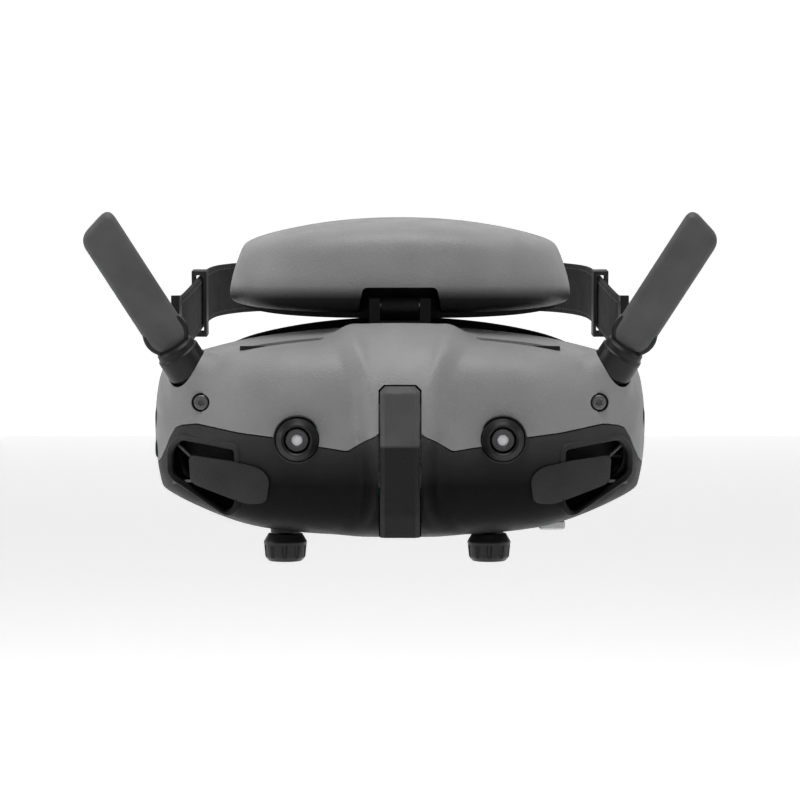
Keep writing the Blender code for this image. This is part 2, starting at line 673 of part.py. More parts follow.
# ------------------------------------------------------------------ antennas
def make_antenna(name, side, looks):
    axis, face = antenna_axis(side), antenna_face(side)
    across = (antenna_point(side, 0, 1.0) - antenna_point(side, 0)).normalized()
    collar = turned([(0, 2.2), (6.9, 2.2), (7.45, 1.6), (7.45, -5.5), (5.5, -7.5), (0, -7.5)],
                    antenna_point(side, 0), axis, 32)
    tongue = slab([round_outline([(-4, 1.0), (4, 1.0), (4, 13.4), (-4, 13.4)], 3.2)], 2.4,
                  antenna_plane(side, across, axis, face))
    join(adopt(collar, f"{name}_antenna_socket", looks["black"]), tongue)
    cut(collar, as_cutter(cylinder(antenna_point(side, ANTENNA_PIVOT), face, 1.3, 8, 14), f"cut_pin_{name}"))
    half, tip = ANTENNA_HALF_WIDTH, ANTENNA_TIP
    outline = round_outline([(-half, 6.0), (half, 6.0), (half, tip - 3), (-half, tip)], 3.0)
    blade = slab([outline], ANTENNA_THICK, antenna_plane(side, across, axis, face), 1.0)
    adopt(blade, f"{name}_antenna_blade", looks["dark"])
    slot = slab([[(-9, -4), (9, -4), (9, 14.6), (-9, 14.6)]], 3.0, antenna_plane(side, across, axis, face))
    cut(blade, as_cutter(slot, f"cut_fork_{name}"),
        as_cutter(cylinder(antenna_point(side, ANTENNA_PIVOT), face, 1.3, 13, 12), f"cut_bore_{name}"))
    pin = cylinder(antenna_point(side, ANTENNA_PIVOT), face, 1.15, 5.0, 14)
    adopt(pin, f"{name}_antenna_pin", looks["steel"])


def antenna_plane(side, across, axis, face):
    """The plane of an antenna's blade: local X outwards, local Y along the blade."""
    matrix = Matrix((across, axis, across.cross(axis))).transposed().to_4x4()
    matrix.translation = metres(antenna_point(side, 0))
    return matrix


# ------------------------------------------------------------------ forehead module
def make_module(looks):
    across = stations(MODULE_HALF_WIDTH, PLAN_POWER, MODULE_DEPTH, 27)
    strips = np.array([resample(with_normals(module_section, x, MODULE_HALF_WIDTH), 14) for x in across])
    shell = adopt(walled(strips, 1.8), "forehead_shell", looks["grey"])
    notch = slab([[(-16, 40), (16, 40), (13, 53), (-13, 53)]], 60, Matrix.Translation(metres((0, -55, 0)))
                 @ Matrix.Rotation(math.pi / 2, 4, "X"))
    cut(shell, as_cutter(notch, "cut_notch"))
    make_forehead_plate("forehead_base", -12.2, 2.5, 42.0, 75.4, 57.2, looks["black"])
    make_forehead_plate("forehead_cushion", -2.0, 10.0, 43.5, 74.0, 55.5, looks["foam"])
    adopt(box((-42, -30.5, 54), (42, -17.5, 69), 1.5), "battery_pack", looks["cell"])
    knuckle = cylinder((0, HINGE_Y, HINGE_Z), (1, 0, 0), 2.6, 13.0, 16)
    arm = box((-5.5, HINGE_Y + 1.7, HINGE_Z - 0.9), (5.5, -15.3, HINGE_Z + 1.6))
    join(adopt(knuckle, "hinge_arm", looks["dark"]), arm)
    cut(knuckle, as_cutter(cylinder((0, HINGE_Y, HINGE_Z), (1, 0, 0), 1.3, 30, 14), "cut_arm_bore"))
    bracket = box((-10.6, HINGE_Y - 2.6, 34.5), (10.6, HINGE_Y + 2.6, 41.5))
    ears = []
    for side in (-1, 1):
        low, high = sorted((side * 6.9, side * 10.6))
        ears.append(box((low, HINGE_Y - 2.6, 41.0), (high, HINGE_Y + 2.6, HINGE_Z + 2.2)))
    join(adopt(bracket, "hinge_bracket", looks["dark"]), *ears)
    cut(bracket, as_cutter(cylinder((0, HINGE_Y, HINGE_Z), (1, 0, 0), 1.3, 30, 14), "cut_ear_bore"))
    adopt(cylinder((0, HINGE_Y, HINGE_Z), (1, 0, 0), 1.15, 20.6, 14), "hinge_pin", looks["steel"])


def make_forehead_plate(name, centre_y, thick, foot, top, half, look):
    """A plate or pad that follows the forehead."""
    rows = []
    for x in np.linspace(-half, half, 17):
        end = float(0.5 + 0.5 * rounded_end(x, half * 1.02, 5))
        middle = (foot + top) / 2
        y = centre_y + x * x / 170
        rows.append([(x, y, middle + (z - middle) * end, 0, 1, 0) for z in np.linspace(foot, top, 3)])
    adopt(walled(np.array(rows, float), thick), name, look)


# ------------------------------------------------------------------ headband and buttons
def band_path(count=60):
    """The headband's centreline from the right lug round the back of the head to the left lug."""
    back = [Vector((73.0, 118, 50.4)), Vector((64, 144, 51.6)),
            Vector((46, 163, 52.2)), Vector((23, 173, 52.4))]
    left = [BAND_START, *BAND_STRAIGHT, *back]
    right = [Vector((-p.x, p.y, p.z)) for p in left]
    points = np.array([tuple(p) for p in [*right, Vector((0, 176, 52.5)), *left[::-1]]])
    along = length_along(points)
    dense = np.linspace(0, along[-1], 400)
    line = np.stack([np.interp(dense, along, points[:, k]) for k in range(3)], axis=1)
    width = 21
    kernel = np.ones(width) / width
    inner = np.stack([np.convolve(line[:, k], kernel, "valid") for k in range(3)], axis=1)
    smooth = np.vstack([line[:1], inner, line[-1:]])
    return resample(smooth, count)


def make_band(looks):
    path = band_path()
    outward = np.cross(np.gradient(path, axis=0), (0, 0, 1))
    outward = -outward / np.linalg.norm(outward, axis=1, keepdims=True)
    skin = path + outward * BAND_THICK / 2
    edges = [np.hstack([skin + (0, 0, height), outward]) for height in (-BAND_HALF, BAND_HALF)]
    strips = np.stack(edges, axis=1)
    adopt(walled(strips, BAND_THICK), "headband", looks["band"])
    direction = (BAND_STRAIGHT[1] - BAND_STRAIGHT[0]).normalized()
    for name, side in SIDES:
        heading = Vector((side * direction.x, direction.y, direction.z))
        middle = BAND_STRAIGHT[0].lerp(BAND_STRAIGHT[1], SLIDER_PLACE)
        frame = turn_to(heading, (1, 0, 0))
        frame.translation = metres((side * middle.x, middle.y, middle.z))
        hole = [(-1.7, -10.9), (1.7, -10.9), (1.7, 10.9), (-1.7, 10.9)]
        ring = [(-2.8, -12.4), (2.8, -12.4), (2.8, 12.4), (-2.8, 12.4)]
        adopt(slab([ring, hole[::-1]], SLIDER_LENGTH, frame, 0.0), f"{name}_band_slider", looks["dark"])
        lug = [(-16.9, 21.7), (-11.5, 21.7), (-8.0, 28), (-8.0, 50), (-16.9, 50)]
        eye = [(-14.0, 29), (-11.0, 29), (-11.0, 48), (-14.0, 48)]
        upright = Matrix(((0, 0, 1, 0), (1, 0, 0, 0), (0, 1, 0, 0), (0, 0, 0, 1)))
        upright.translation = metres((side * 78.8, 0, 0))
        adopt(slab([lug, eye], 3.0, upright), f"{name}_band_lug", looks["black"])


def make_buttons(looks):
    names = {(-1, 0): "five_way_button", (-1, 1): "back_button", (1, 0): "power_button"}
    for (side, index), name in names.items():
        y, z = BUTTON_PLACES[side][index]
        button = turned([(0, 1.0), (BUTTON_R - 0.6, 1.0), (BUTTON_R, 0.4), (BUTTON_R, -4.0), (0, -4.0)],
                        (side * BUTTON_FACE_X, y, z), (side, 0, 0), 20)
        adopt(button, name, looks["dark"])
    adopt(box((48, -38, -30.6), (57, -34.8, -27.4), 0.6), "usb_port", looks["steel"])


def make_looks():
    return {
        "grey": material("shell_grey", (0.30, 0.30, 0.30), 0.5),
        "black": material("black_plastic", (0.012, 0.012, 0.013), 0.45),
        "dark": material("dark_plastic", (0.045, 0.045, 0.047), 0.55),
        "glass": material("lens_glass", (0.02, 0.02, 0.025), 0.05),
        "steel": material("steel", (0.45, 0.45, 0.46), 0.3, 1.0),
        "aluminium": material("aluminium", (0.6, 0.6, 0.6), 0.4, 1.0),
        "board": material("circuit_board", (0.02, 0.09, 0.04), 0.5),
        "cell": material("battery_wrap", (0.10, 0.12, 0.20), 0.5),
        "foam": material("foam", (0.02, 0.02, 0.02), 0.9),
        "band": material("woven_band", (0.02, 0.02, 0.02), 0.85),
    }


def move_origin(obj, point):
    """Puts an object's origin at a point without moving its shape."""
    shift = obj.matrix_world.inverted() @ metres(point)
    obj.data.transform(Matrix.Translation(-shift))
    obj.matrix_world = obj.matrix_world @ Matrix.Translation(shift)


def centre_moving_pieces():
    """A turning piece has its origin on the axis that it turns about."""
    bpy.context.view_layer.update()
    for name in ("forehead_shell", "forehead_base", "forehead_cushion", "battery_pack"):
        move_origin(bpy.data.objects[name], (0, HINGE_Y, HINGE_Z))
    for name, side in SIDES:
        move_origin(bpy.data.objects[f"{name}_antenna_blade"], antenna_point(side, ANTENNA_PIVOT))


def smooth_round_pieces():
    for obj in PARTS.objects:
        obj.data.shade_smooth()
        obj.data.set_sharp_from_angle(angle=math.radians(35))


def main():
    looks = make_looks()
    make_front_shells(looks)
    make_front_details(looks)
    make_rear(looks)
    make_inside(looks)
    for name, side in SIDES:
        make_eyepiece(name, side, looks)
        make_antenna(name, side, looks)
    make_module(looks)
    make_band(looks)
    make_buttons(looks)
    centre_moving_pieces()
    smooth_round_pieces()


clear_scene()
PARTS = collection("fpv_goggles")
CUTTERS = collection("cutters")
main()
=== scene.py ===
"""The looks of the FPV goggles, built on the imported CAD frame.

Lengths are written in millimetres and turned into metres where a mesh is made. The wearer looks
along -Y, +Z is up, and the origin is between the wearer's eyes.
"""
import math

import bmesh
import bpy
import numpy as np
from mathutils import Matrix, Vector


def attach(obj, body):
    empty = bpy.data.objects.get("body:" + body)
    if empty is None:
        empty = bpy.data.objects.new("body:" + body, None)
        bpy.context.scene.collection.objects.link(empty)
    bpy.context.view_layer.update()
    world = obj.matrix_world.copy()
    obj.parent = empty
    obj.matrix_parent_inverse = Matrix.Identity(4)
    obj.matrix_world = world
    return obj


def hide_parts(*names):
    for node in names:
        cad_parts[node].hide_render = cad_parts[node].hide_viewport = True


MM = 0.001
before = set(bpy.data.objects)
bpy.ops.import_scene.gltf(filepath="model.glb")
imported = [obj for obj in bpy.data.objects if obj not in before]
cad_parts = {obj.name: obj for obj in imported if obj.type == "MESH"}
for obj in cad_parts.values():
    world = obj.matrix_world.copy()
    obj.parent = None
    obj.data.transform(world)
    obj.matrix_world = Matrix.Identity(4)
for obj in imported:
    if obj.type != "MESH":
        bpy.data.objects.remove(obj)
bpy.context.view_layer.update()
SIDES = (("right", -1), ("left", 1))

# ---- the housing's skin, with the CAD model's sizes except that its deck falls more towards the front
HALF_WIDTH = 85.3
REAR_RIM_Y = -20.0
BROW_DEPTH = 57.0
RIDGE_DEPTH = 66.0
PLAN_POWER = 2.6
BROW_TOP = 39.3
RIDGE_TOP = 45.8
HUMP_FRONT_Y = -60.0
HUMP_REAR_Y = -36.0
HUMP_FALL = 6.4
CHIN = 31.8
DECK_DROP = 0.11               # share of its height that the deck loses towards the front
CHIN_RAKE = 5.0
SHELL_WALL = 2.0
SEAM_GAP = 0.22                # from the seam to the edge of either shell
STRIP_COLUMNS = 181            # sections of the housing from one side to the other
SEAM = [                       # height of the seam, by distance from the centre plane
    (0.0, 5.6), (6.9, 5.6), (8.2, 4.0), (11.2, 2.6), (15.9, -0.4), (17.6, -1.4), (23.2, -0.4), (26.8, 0.1),
    (34.0, 1.5), (41.8, 3.1), (53.9, 4.5), (62.9, 6.2), (68.6, 7.2), (73.8, 6.5), (76.2, 5.6), (78.4, 2.1),
    (80.1, -1.5), (82.5, -5.5), (84.6, -7.5), (85.3, -7.5),
]

# ---- features of the front
CAMERA = (34.2, 2.7)
CAMERA_HOLE_R = 7.4
CAMERA_FRONT_Y = -74.5
WINDOW_HALF = 6.6
WINDOW_TOP = 20.7
WINDOW_FOOT = -30.6
SCREW = (67.0, 14.5)
SCREW_WELL_R = 2.95
VENT_ROUNDING = 2.4
TOP_VENT = (40.2, -51.5)
VENT_OPENING = [(54.4, -0.2), (74.4, 2.8), (78.4, -2.0), (78.4, -10.6), (57.8, -23.6), (54.4, -20.0)]
VENT_PANEL = [
    (71.5, -3.4), (56.9, -4.9), (47.0, -7.0), (43.6, -10.5), (44.8, -19.0), (51.5, -19.6), (71.0, -13.0),
]

# ---- antennas
SOCKET = Vector((74.3, -55.0, 29.6))
TILT_OUT = math.radians(31.5)
TILT_FORWARD = math.radians(18.0)
BLADE_HALF = 7.1
BLADE_TIP = 57.5
BLADE_THICK = 5.6
BLADE_EDGE = 2.7               # radius of the blade's rounded edges
KNUCKLE_R = 7.8
COLLAR_HOLE_R = 7.7
PIVOT = 10.0

# ---- forehead module
MODULE_HALF_WIDTH = 60.8
MODULE_DEPTH = 52.0
MODULE_SIDE_Y = 6.2
MODULE_MID_Z = 60.0
MODULE_TOP = 77.5
MODULE_FOOT = 44.0
MODULE_DECK_DROP = 0.22        # share of its height that the module's top loses towards the front
HINGE = (-36.0, 47.0)

# ---- eyepieces and knobs
HALF_IPD = 35.0
IPD_TRAVEL = 6.0
KNOB_SLOT_R = 6.6
RAIL_Y = -42.0
KNOB_OFFSET_X = -4.4
KNOB_TOP = -31.3
KNOB_FOOT = -40.9
KNOB_R = 7.5
KNOB_SLOTS = 10

BUTTON_Y = -33.0
BUTTON_FACE_X = 83.6

# ---- headband
BAND_HALF = 10.0
BAND_THICK = 2.0
STITCH_PITCH = 3.0
STITCH_LENGTH = 1.9
STITCH_INSET = 1.8             # from the band's edge to a row of stitches
BAND_START = Vector((78.8, -7.4, 38.5))
BAND_STRAIGHT = [Vector((77.0, 12.0, 41.0)), Vector((75.0, 96.0, 48.5))]


# ---- studio; places of lights and camera are in metres
FLOOR_TOP = -165
FLOOR_GLOW = 0.42
BACKDROP_Y = 3000
BACKDROP_GLOW = 0.57
WORLD_LIGHT = 0.12
LIGHTS = [                     # what area_light takes
    ("key", (0, -0.25, 0.62), (0, -0.03, 0.03), 0.6, 5.6),
    ("left_rim", (-1.2, -0.1, 0.35), (-0.05, 0, 0.02), 0.5, 4.5),
    ("right_rim", (1.2, -0.1, 0.35), (0.05, 0, 0.02), 0.5, 2.5),
]
VIEW_LENS = 142.65
VIEW_FROM = Vector((0, -1.1290, 0.0619))
VIEW_TO = Vector((0, -0.030, 0.0139))


# ------------------------------------------------------------------ shapes that follow the CAD model
def round_outline(corners, radius, steps=4):
    """The corners of a polygon, each replaced by a short arc."""
    points = []
    for before, corner, after in zip([corners[-1], *corners[:-1]], corners, [*corners[1:], corners[0]]):
        here = Vector(corner)
        start = here + (Vector(before) - here).normalized() * radius
        end = here + (Vector(after) - here).normalized() * radius
        for i in range(steps + 1):
            t = i / steps
            points.append(tuple((1 - t) ** 2 * start + 2 * t * (1 - t) * here + t * t * end))
    return points


def fall(x, inner, outer):
    """1 within inner of the centre plane, 0 beyond outer, and smooth between."""
    t = np.clip((outer - np.abs(x)) / (outer - inner), 0, 1)
    return t * t * (3 - 2 * t)


def rounded_end(x, half, power):
    """1 at the centre, 0 at half, along a superellipse."""
    return np.clip(1 - np.abs(x / half) ** power, 0, 1) ** (1 / power)


def housing_section(x, count=361):
    """The housing's outer section at x, from its rear lower edge round the front to its rear upper edge."""
    angle = np.linspace(-math.pi / 2, math.pi / 2, count)
    sine, cosine = np.abs(np.sin(angle)), np.abs(np.cos(angle))
    above = angle > 0
    ridge = np.where(above, fall(x, 7 + 7 * sine ** 2, 17 + 11 * sine ** 2),
                     fall(x, 7 + 4 * sine ** 2, 14 + 12 * sine ** 2))
    plan = rounded_end(x, HALF_WIDTH, PLAN_POWER)
    depth = plan * (BROW_DEPTH + (RIDGE_DEPTH - BROW_DEPTH) * ridge)
    power = np.where(above, 6 - 3.4 * ridge, 5)
    top = BROW_TOP * (1 - 0.17 * (x / 68) ** 2) * (0.7 + 0.3 * rounded_end(x, HALF_WIDTH, 6))
    top = top + (RIDGE_TOP - BROW_TOP) * ridge
    foot = CHIN * (1 - 0.255 * abs(x / 69.7) ** 3) * (0.9 + 0.1 * rounded_end(x, HALF_WIDTH, 6))
    forward = cosine ** (2 / power)
    upward = sine ** (2 / power)
    y = REAR_RIM_Y - depth * forward
    behind = np.clip((y - HUMP_FRONT_Y) / (HUMP_REAR_Y - HUMP_FRONT_Y), 0, 1)
    top = top - HUMP_FALL * ridge * behind * behind * (3 - 2 * behind)
    z = np.where(above, top * upward * (1 - DECK_DROP * (1 - 0.8 * ridge) * forward), -foot * upward)
    y = y + CHIN_RAKE * np.clip(-z / 30, 0, 1) * forward * plan * (1 - 0.6 * ridge)
    barrel = 0.0055 * (z - 5) ** 2 * (1 - fall(x, 45, 82))
    points = np.stack([x - math.copysign(1, x) * barrel, y, z], axis=1)
    return points + socket_swell(points)


def socket_swell(points):
    """The housing swells up round each antenna's socket."""
    out = np.zeros_like(points)
    for side in (-1, 1):
        axis = np.array(antenna_axis(side))
        centre = np.array((side * SOCKET.x, SOCKET.y, SOCKET.z))
        away = points - centre
        radial = np.linalg.norm(away - np.outer(away @ axis, axis), axis=1)
        lift = np.clip(-(away @ axis), 0, 6) * np.exp(-(radial / 9.5) ** 4)
        out += lift[:, None] * axis
    return out


def module_section(x, count=241):
    """The forehead module's outer section at x, from its rear lower edge to its rear upper edge."""
    angle = np.linspace(-math.pi / 2, math.pi / 2, count)
    sine, cosine = np.abs(np.sin(angle)), np.abs(np.cos(angle))
    plan = rounded_end(x, MODULE_HALF_WIDTH, PLAN_POWER)
    front = MODULE_SIDE_Y - MODULE_DEPTH * plan
    rim = module_rim(x)
    end = 0.55 + 0.45 * rounded_end(x, MODULE_HALF_WIDTH, 4)
    top = (MODULE_TOP - MODULE_MID_Z) * (1 - 0.3 * (x / 57) ** 2.0) * end
    foot = (MODULE_MID_Z - MODULE_FOOT) * (1 - 0.06 * (x / 57) ** 2) * end
    power = np.where(angle > 0, 5.0, 3.4)
    forward = cosine ** (2 / power)
    height = np.where(angle > 0, top * (1 - MODULE_DECK_DROP * forward), -foot)
    z = MODULE_MID_Z + height * sine ** (2 / power)
    y = rim - (rim - front) * forward
    return np.stack([x * module_lean(z), y, z], axis=1)


def module_lean(z):
    """The share of its width that the forehead module keeps at a height: its ends lean inwards."""
    return 1 - 0.085 * np.clip((z - 50) / 18.3, 0, 1.4) ** 1.5


def module_rim(x):
    """The forehead module's rear edge follows the forehead."""
    return -15.2 + x * x / 170


def length_along(points):
    steps = np.linalg.norm(np.diff(points, axis=0), axis=1)
    return np.concatenate([[0], np.cumsum(steps)])


def with_normals(section, x, half):
    """A section's points, each followed by the surface's outward normal there."""
    points = section(x)
    across = section(min(x + 0.3, half - 0.01)) - section(max(x - 0.3, 0.01 - half))
    return np.hstack([points, np.cross(across, np.gradient(points, axis=0))])


def resample(points, count):
    """The same line as count points spaced evenly along it."""
    along = length_along(points[:, :3])
    wanted = np.linspace(0, along[-1], count)
    return np.stack([np.interp(wanted, along, points[:, k]) for k in range(points.shape[1])], axis=1)


def stations(half, power, depth, count):
    """Values of x spaced evenly along a plan curve, from one side to the other."""
    turn = np.linspace(-math.pi / 2, math.pi / 2, 2001)
    x = half * np.sin(turn)
    curve = np.stack([x, depth * rounded_end(x, half, power)], axis=1)
    return resample(curve, count)[:, 0]


def seam_height(x):
    return float(np.interp(abs(x), *zip(*SEAM)))


def split_section(x, above, gap):
    """The part of the housing's section above or below the seam."""
    points = with_normals(housing_section, x, HALF_WIDTH)
    front = len(points) // 2
    height = seam_height(x) + (gap if above else -gap)
    order = points[:, 2]
    found = int(np.searchsorted(order[front - 170:front + 170], height)) + front - 170
    share = (height - order[found - 1]) / (order[found] - order[found - 1])
    edge = points[found - 1] + share * (points[found] - points[found - 1])
    return np.vstack([edge[None], points[found:]]) if above else np.vstack([points[:found], edge[None]])


def front_y(x, z):
    """The housing's outer surface at (x, z), seen from the front."""
    points = housing_section(x)[30:-30]
    return float(np.interp(z, points[:, 2], points[:, 1]))


def antenna_axis(side):
    flat = math.cos(TILT_FORWARD)
    return Vector((side * math.sin(TILT_OUT) * flat, -math.sin(TILT_FORWARD),
                   math.cos(TILT_OUT) * flat))


def antenna_face(side):
    """The direction that an antenna's flat face looks in."""
    axis = antenna_axis(side)
    forward = Vector((0, -1, 0))
    return (forward - forward.dot(axis) * axis).normalized()


def antenna_point(side, along, outward=0.0, forward=0.0):
    axis = antenna_axis(side)
    face = antenna_face(side)
    across = axis.cross(face).normalized() * (1 if axis.cross(face).x * side > 0 else -1)
    return Vector((side * SOCKET.x, SOCKET.y, SOCKET.z)) + along * axis + outward * across + forward * face


def band_path(count=60):
    """The headband's centreline from the right lug round the back of the head to the left lug."""
    back = [Vector((73.0, 118, 50.4)), Vector((64, 144, 51.6)),
            Vector((46, 163, 52.2)), Vector((23, 173, 52.4))]
    left = [BAND_START, *BAND_STRAIGHT, *back]
    right = [Vector((-p.x, p.y, p.z)) for p in left]
    points = np.array([tuple(p) for p in [*right, Vector((0, 176, 52.5)), *left[::-1]]])
    along = length_along(points)
    dense = np.linspace(0, along[-1], 400)
    line = np.stack([np.interp(dense, along, points[:, k]) for k in range(3)], axis=1)
    width = 21
    kernel = np.ones(width) / width
    inner = np.stack([np.convolve(line[:, k], kernel, "valid") for k in range(3)], axis=1)
    smooth = np.vstack([line[:1], inner, line[-1:]])
    return resample(smooth, count)


# ------------------------------------------------------------------ mesh building
def made(name, points, faces, weld=True):
    """A closed mesh object from points in millimetres."""
    mesh = bpy.data.meshes.new(name)
    mesh.from_pydata((np.asarray(points, float) * MM).tolist(), [], faces)
    work = bmesh.new()
    work.from_mesh(mesh)
    if weld:
        bmesh.ops.remove_doubles(work, verts=work.verts, dist=1e-7)
    bmesh.ops.recalc_face_normals(work, faces=work.faces)
    work.to_mesh(mesh)
    work.free()
    obj = bpy.data.objects.new(name, mesh)
    bpy.context.scene.collection.objects.link(obj)
    return obj


def band_faces(rings, count, ring_closed=True, path_closed=False):
    """Quads between neighbouring rings of count points each."""
    faces = []
    for i in range(rings if path_closed else rings - 1):
        a, b = i * count, ((i + 1) % rings) * count
        for j in range(count if ring_closed else count - 1):
            k = (j + 1) % count
            faces.append((a + j, a + k, b + k, b + j))
    return faces


def loft(name, rings, path_closed=False, weld=True):
    """A closed solid through rings of points, with flat ends unless the path is closed."""
    rings = np.asarray(rings, float)
    total, count = rings.shape[:2]
    faces = band_faces(total, count, True, path_closed)
    if not path_closed:
        faces.append(tuple(range(count))[::-1])
        faces.append(tuple((total - 1) * count + j for j in range(count)))
    return made(name, rings.reshape(-1, 3), faces, weld)


def turn_to(axis, across=None):
    """A rotation whose local Z is axis and whose local X is nearest to across."""
    z = Vector(axis).normalized()
    x = Vector(across) if across else (Vector((1, 0, 0)) if abs(z.x) < 0.9 else Vector((0, 1, 0)))
    x = (x - x.dot(z) * z).normalized()
    return Matrix((x, z.cross(x), z)).transposed()


def placed(points, centre, turn):
    """Local points turned and moved to centre, in millimetres."""
    return np.asarray(points, float) @ np.array(turn).T + np.array(centre)


def filleted(profile, radius, steps=4):
    """An open profile with each inner corner replaced by a short curve."""
    points = [tuple(profile[0])]
    for before, corner, after in zip(profile[:-2], profile[1:-1], profile[2:]):
        here = Vector(corner)
        back, on = Vector(before) - here, Vector(after) - here
        reach = min(radius, back.length * 0.45, on.length * 0.45)
        start, end = here + back.normalized() * reach, here + on.normalized() * reach
        for i in range(steps + 1):
            t = i / steps
            points.append(tuple((1 - t) ** 2 * start + 2 * t * (1 - t) * here + t * t * end))
    return [*points, tuple(profile[-1])]


def turned(name, profile, centre, axis, sides=72, radius=0.35):
    """A solid of revolution about axis: profile is (radius, height), and its ends close on the axis."""
    spin = np.linspace(0, 2 * math.pi, sides, endpoint=False)
    rings = []
    for r, h in filleted(profile, radius):
        rings.append(np.stack([r * np.cos(spin), r * np.sin(spin), np.full(sides, h)], axis=1))
    return loft(name, placed(np.array(rings).reshape(-1, 3), centre, turn_to(axis)).reshape(-1, sides, 3))


def ring_turned(name, profile, centre, axis, sides=72):
    """A ring: the profile is a closed loop round the axis."""
    spin = np.linspace(0, 2 * math.pi, sides, endpoint=False)
    loop = round_outline(profile, 0.3, 3)
    rings = [[(r * math.cos(t), r * math.sin(t), h) for r, h in loop] for t in spin]
    points = placed(np.array(rings).reshape(-1, 3), centre, turn_to(axis)).reshape(sides, -1, 3)
    return loft(name, points, path_closed=True)


def pebble(name, outline, thick, edge, centre, turn, spine, rings=6):
    """A plate with rounded edges, which draw in towards its spine: a line up its middle from 0 to spine."""
    flat = np.array(outline, float)
    nearest = np.stack([np.zeros(len(flat)), np.clip(flat[:, 1], 0, spine)], axis=1)
    inward = nearest - flat
    inward /= np.linalg.norm(inward, axis=1, keepdims=True)
    layers = []
    for side in (-1, 1):
        for angle in np.linspace(0, math.pi / 2, rings)[::side]:
            inset = flat + inward * edge * (1 - math.cos(angle))
            height = side * (thick / 2 - edge + edge * math.sin(angle))
            layers.append(np.column_stack([inset, np.full(len(flat), height)]))
    points = placed(np.array(layers).reshape(-1, 3), centre, turn)
    return loft(name, points.reshape(len(layers), -1, 3))


def prism(outline, near, far):
    """A block along Y whose outline is in X and Z."""
    rings = [[(x, y, z) for x, z in outline] for y in (near, far)]
    return loft("prism", rings)


def block(low, high):
    (x0, y0, z0), (x1, y1, z1) = low, high
    return prism([(x0, z0), (x1, z0), (x1, z1), (x0, z1)], y0, y1)


def rod(start, end, radius, sides=32):
    start, end = Vector(start), Vector(end)
    length = (end - start).length
    profile = [(0, 0), (radius, 0), (radius, length), (0, length)]
    return turned("rod", profile, start, end - start, sides, 0.0001)


def wall_faces(rows, columns):
    """The faces of a closed wall: its outer sheet, its inner sheet, and the rim between."""
    size = rows * columns
    outer = band_faces(rows, columns, ring_closed=False)
    faces = outer + [tuple(size + k for k in reversed(face)) for face in outer]
    rim = [(0, j) for j in range(columns)] + [(i, columns - 1) for i in range(1, rows)]
    rim += [(rows - 1, j) for j in range(columns - 2, -1, -1)] + [(i, 0) for i in range(rows - 2, 0, -1)]
    order = [i * columns + j for i, j in rim]
    return faces + [(a, b, size + b, size + a) for a, b in zip(order, [*order[1:], order[0]])]


def walled(name, strips, wall):
    """A closed wall: an outer surface whose points carry their normals, its inner copy, and a rim."""
    rows, columns = strips.shape[:2]
    normals = strips[:, :, 3:] / np.linalg.norm(strips[:, :, 3:], axis=2, keepdims=True)
    points = strips[:, :, :3]
    inside = points - wall * normals
    both = np.concatenate([points.reshape(-1, 3), inside.reshape(-1, 3)])
    return made(name, both, wall_faces(rows, columns), weld=False)


def triangulated(obj):
    work = bmesh.new()
    work.from_mesh(obj.data)
    bmesh.ops.triangulate(work, faces=work.faces)
    work.to_mesh(obj.data)
    work.free()
    return obj


def combined(obj, others, operation):
    """One exact boolean of obj with all the others, which don't touch each other."""
    work = bmesh.new()
    for other in others:
        work.from_mesh(triangulated(other).data)
        bpy.data.objects.remove(other)
    mesh = bpy.data.meshes.new("cutters")
    work.to_mesh(mesh)
    work.free()
    tool = bpy.data.objects.new("cutters", mesh)
    bpy.context.scene.collection.objects.link(tool)
    step = triangulated(obj).modifiers.new("cut", "BOOLEAN")
    step.operation = operation
    step.solver = "EXACT"
    step.object = tool
    bpy.context.view_layer.update()
    graph = bpy.context.evaluated_depsgraph_get()
    result = bpy.data.meshes.new_from_object(obj.evaluated_get(graph))
    obj.modifiers.clear()
    obj.data = result
    bpy.data.objects.remove(tool)
    return obj


def piece(obj, name, body, look, nodes=(), angle=35):
    """Names a finished piece, gives it its material and body, and hides the CAD nodes it stands for."""
    obj.name = name
    obj.data.name = name
    obj.data.materials.clear()
    obj.data.materials.append(LOOKS[look])
    obj.data.polygons.foreach_set("use_smooth", [True] * len(obj.data.polygons))
    obj.data.set_sharp_from_angle(angle=math.radians(angle))
    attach(obj, body)
    if nodes:
        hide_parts(*nodes)
    return obj


# ------------------------------------------------------------------ materials
def node(tree, kind, links=None, **sockets):
    """A shader node with its sockets set to constants or linked to other nodes' outputs."""
    made_node = tree.nodes.new(kind)
    for key, value in sockets.items():
        made_node.inputs[key.replace("_", " ")].default_value = value
    for key, source in (links or {}).items():
        tree.links.new(source, made_node.inputs[key])
    return made_node


def math_node(tree, operation, first, second=None, value=0.0):
    step = tree.nodes.new("ShaderNodeMath")
    step.operation = operation
    tree.links.new(first, step.inputs[0])
    if second is not None:
        tree.links.new(second, step.inputs[1])
    else:
        step.inputs[1].default_value = value
    return step.outputs[0]


def noise(tree, place, size, detail=3.0):
    """Noise whose features are about size millimetres across."""
    texture = node(tree, "ShaderNodeTexNoise", {"Vector": place}, Scale=1 / (size * MM), Detail=detail)
    return texture.outputs["Fac"]


def span(tree, source, low, high, start=0.0, end=1.0):
    return node(tree, "ShaderNodeMapRange", {"Value": source},
                From_Min=low, From_Max=high, To_Min=start, To_Max=end).outputs["Result"]


def blend_colour(tree, share, first, second):
    """A mix of two colours or colour outputs."""
    mix = tree.nodes.new("ShaderNodeMix")
    mix.data_type = "RGBA"
    tree.links.new(share, mix.inputs["Factor"])
    for value, socket in ((first, mix.inputs[6]), (second, mix.inputs[7])):
        if isinstance(value, tuple):
            socket.default_value = (*value, 1)
        else:
            tree.links.new(value, socket)
    return mix.outputs[2]


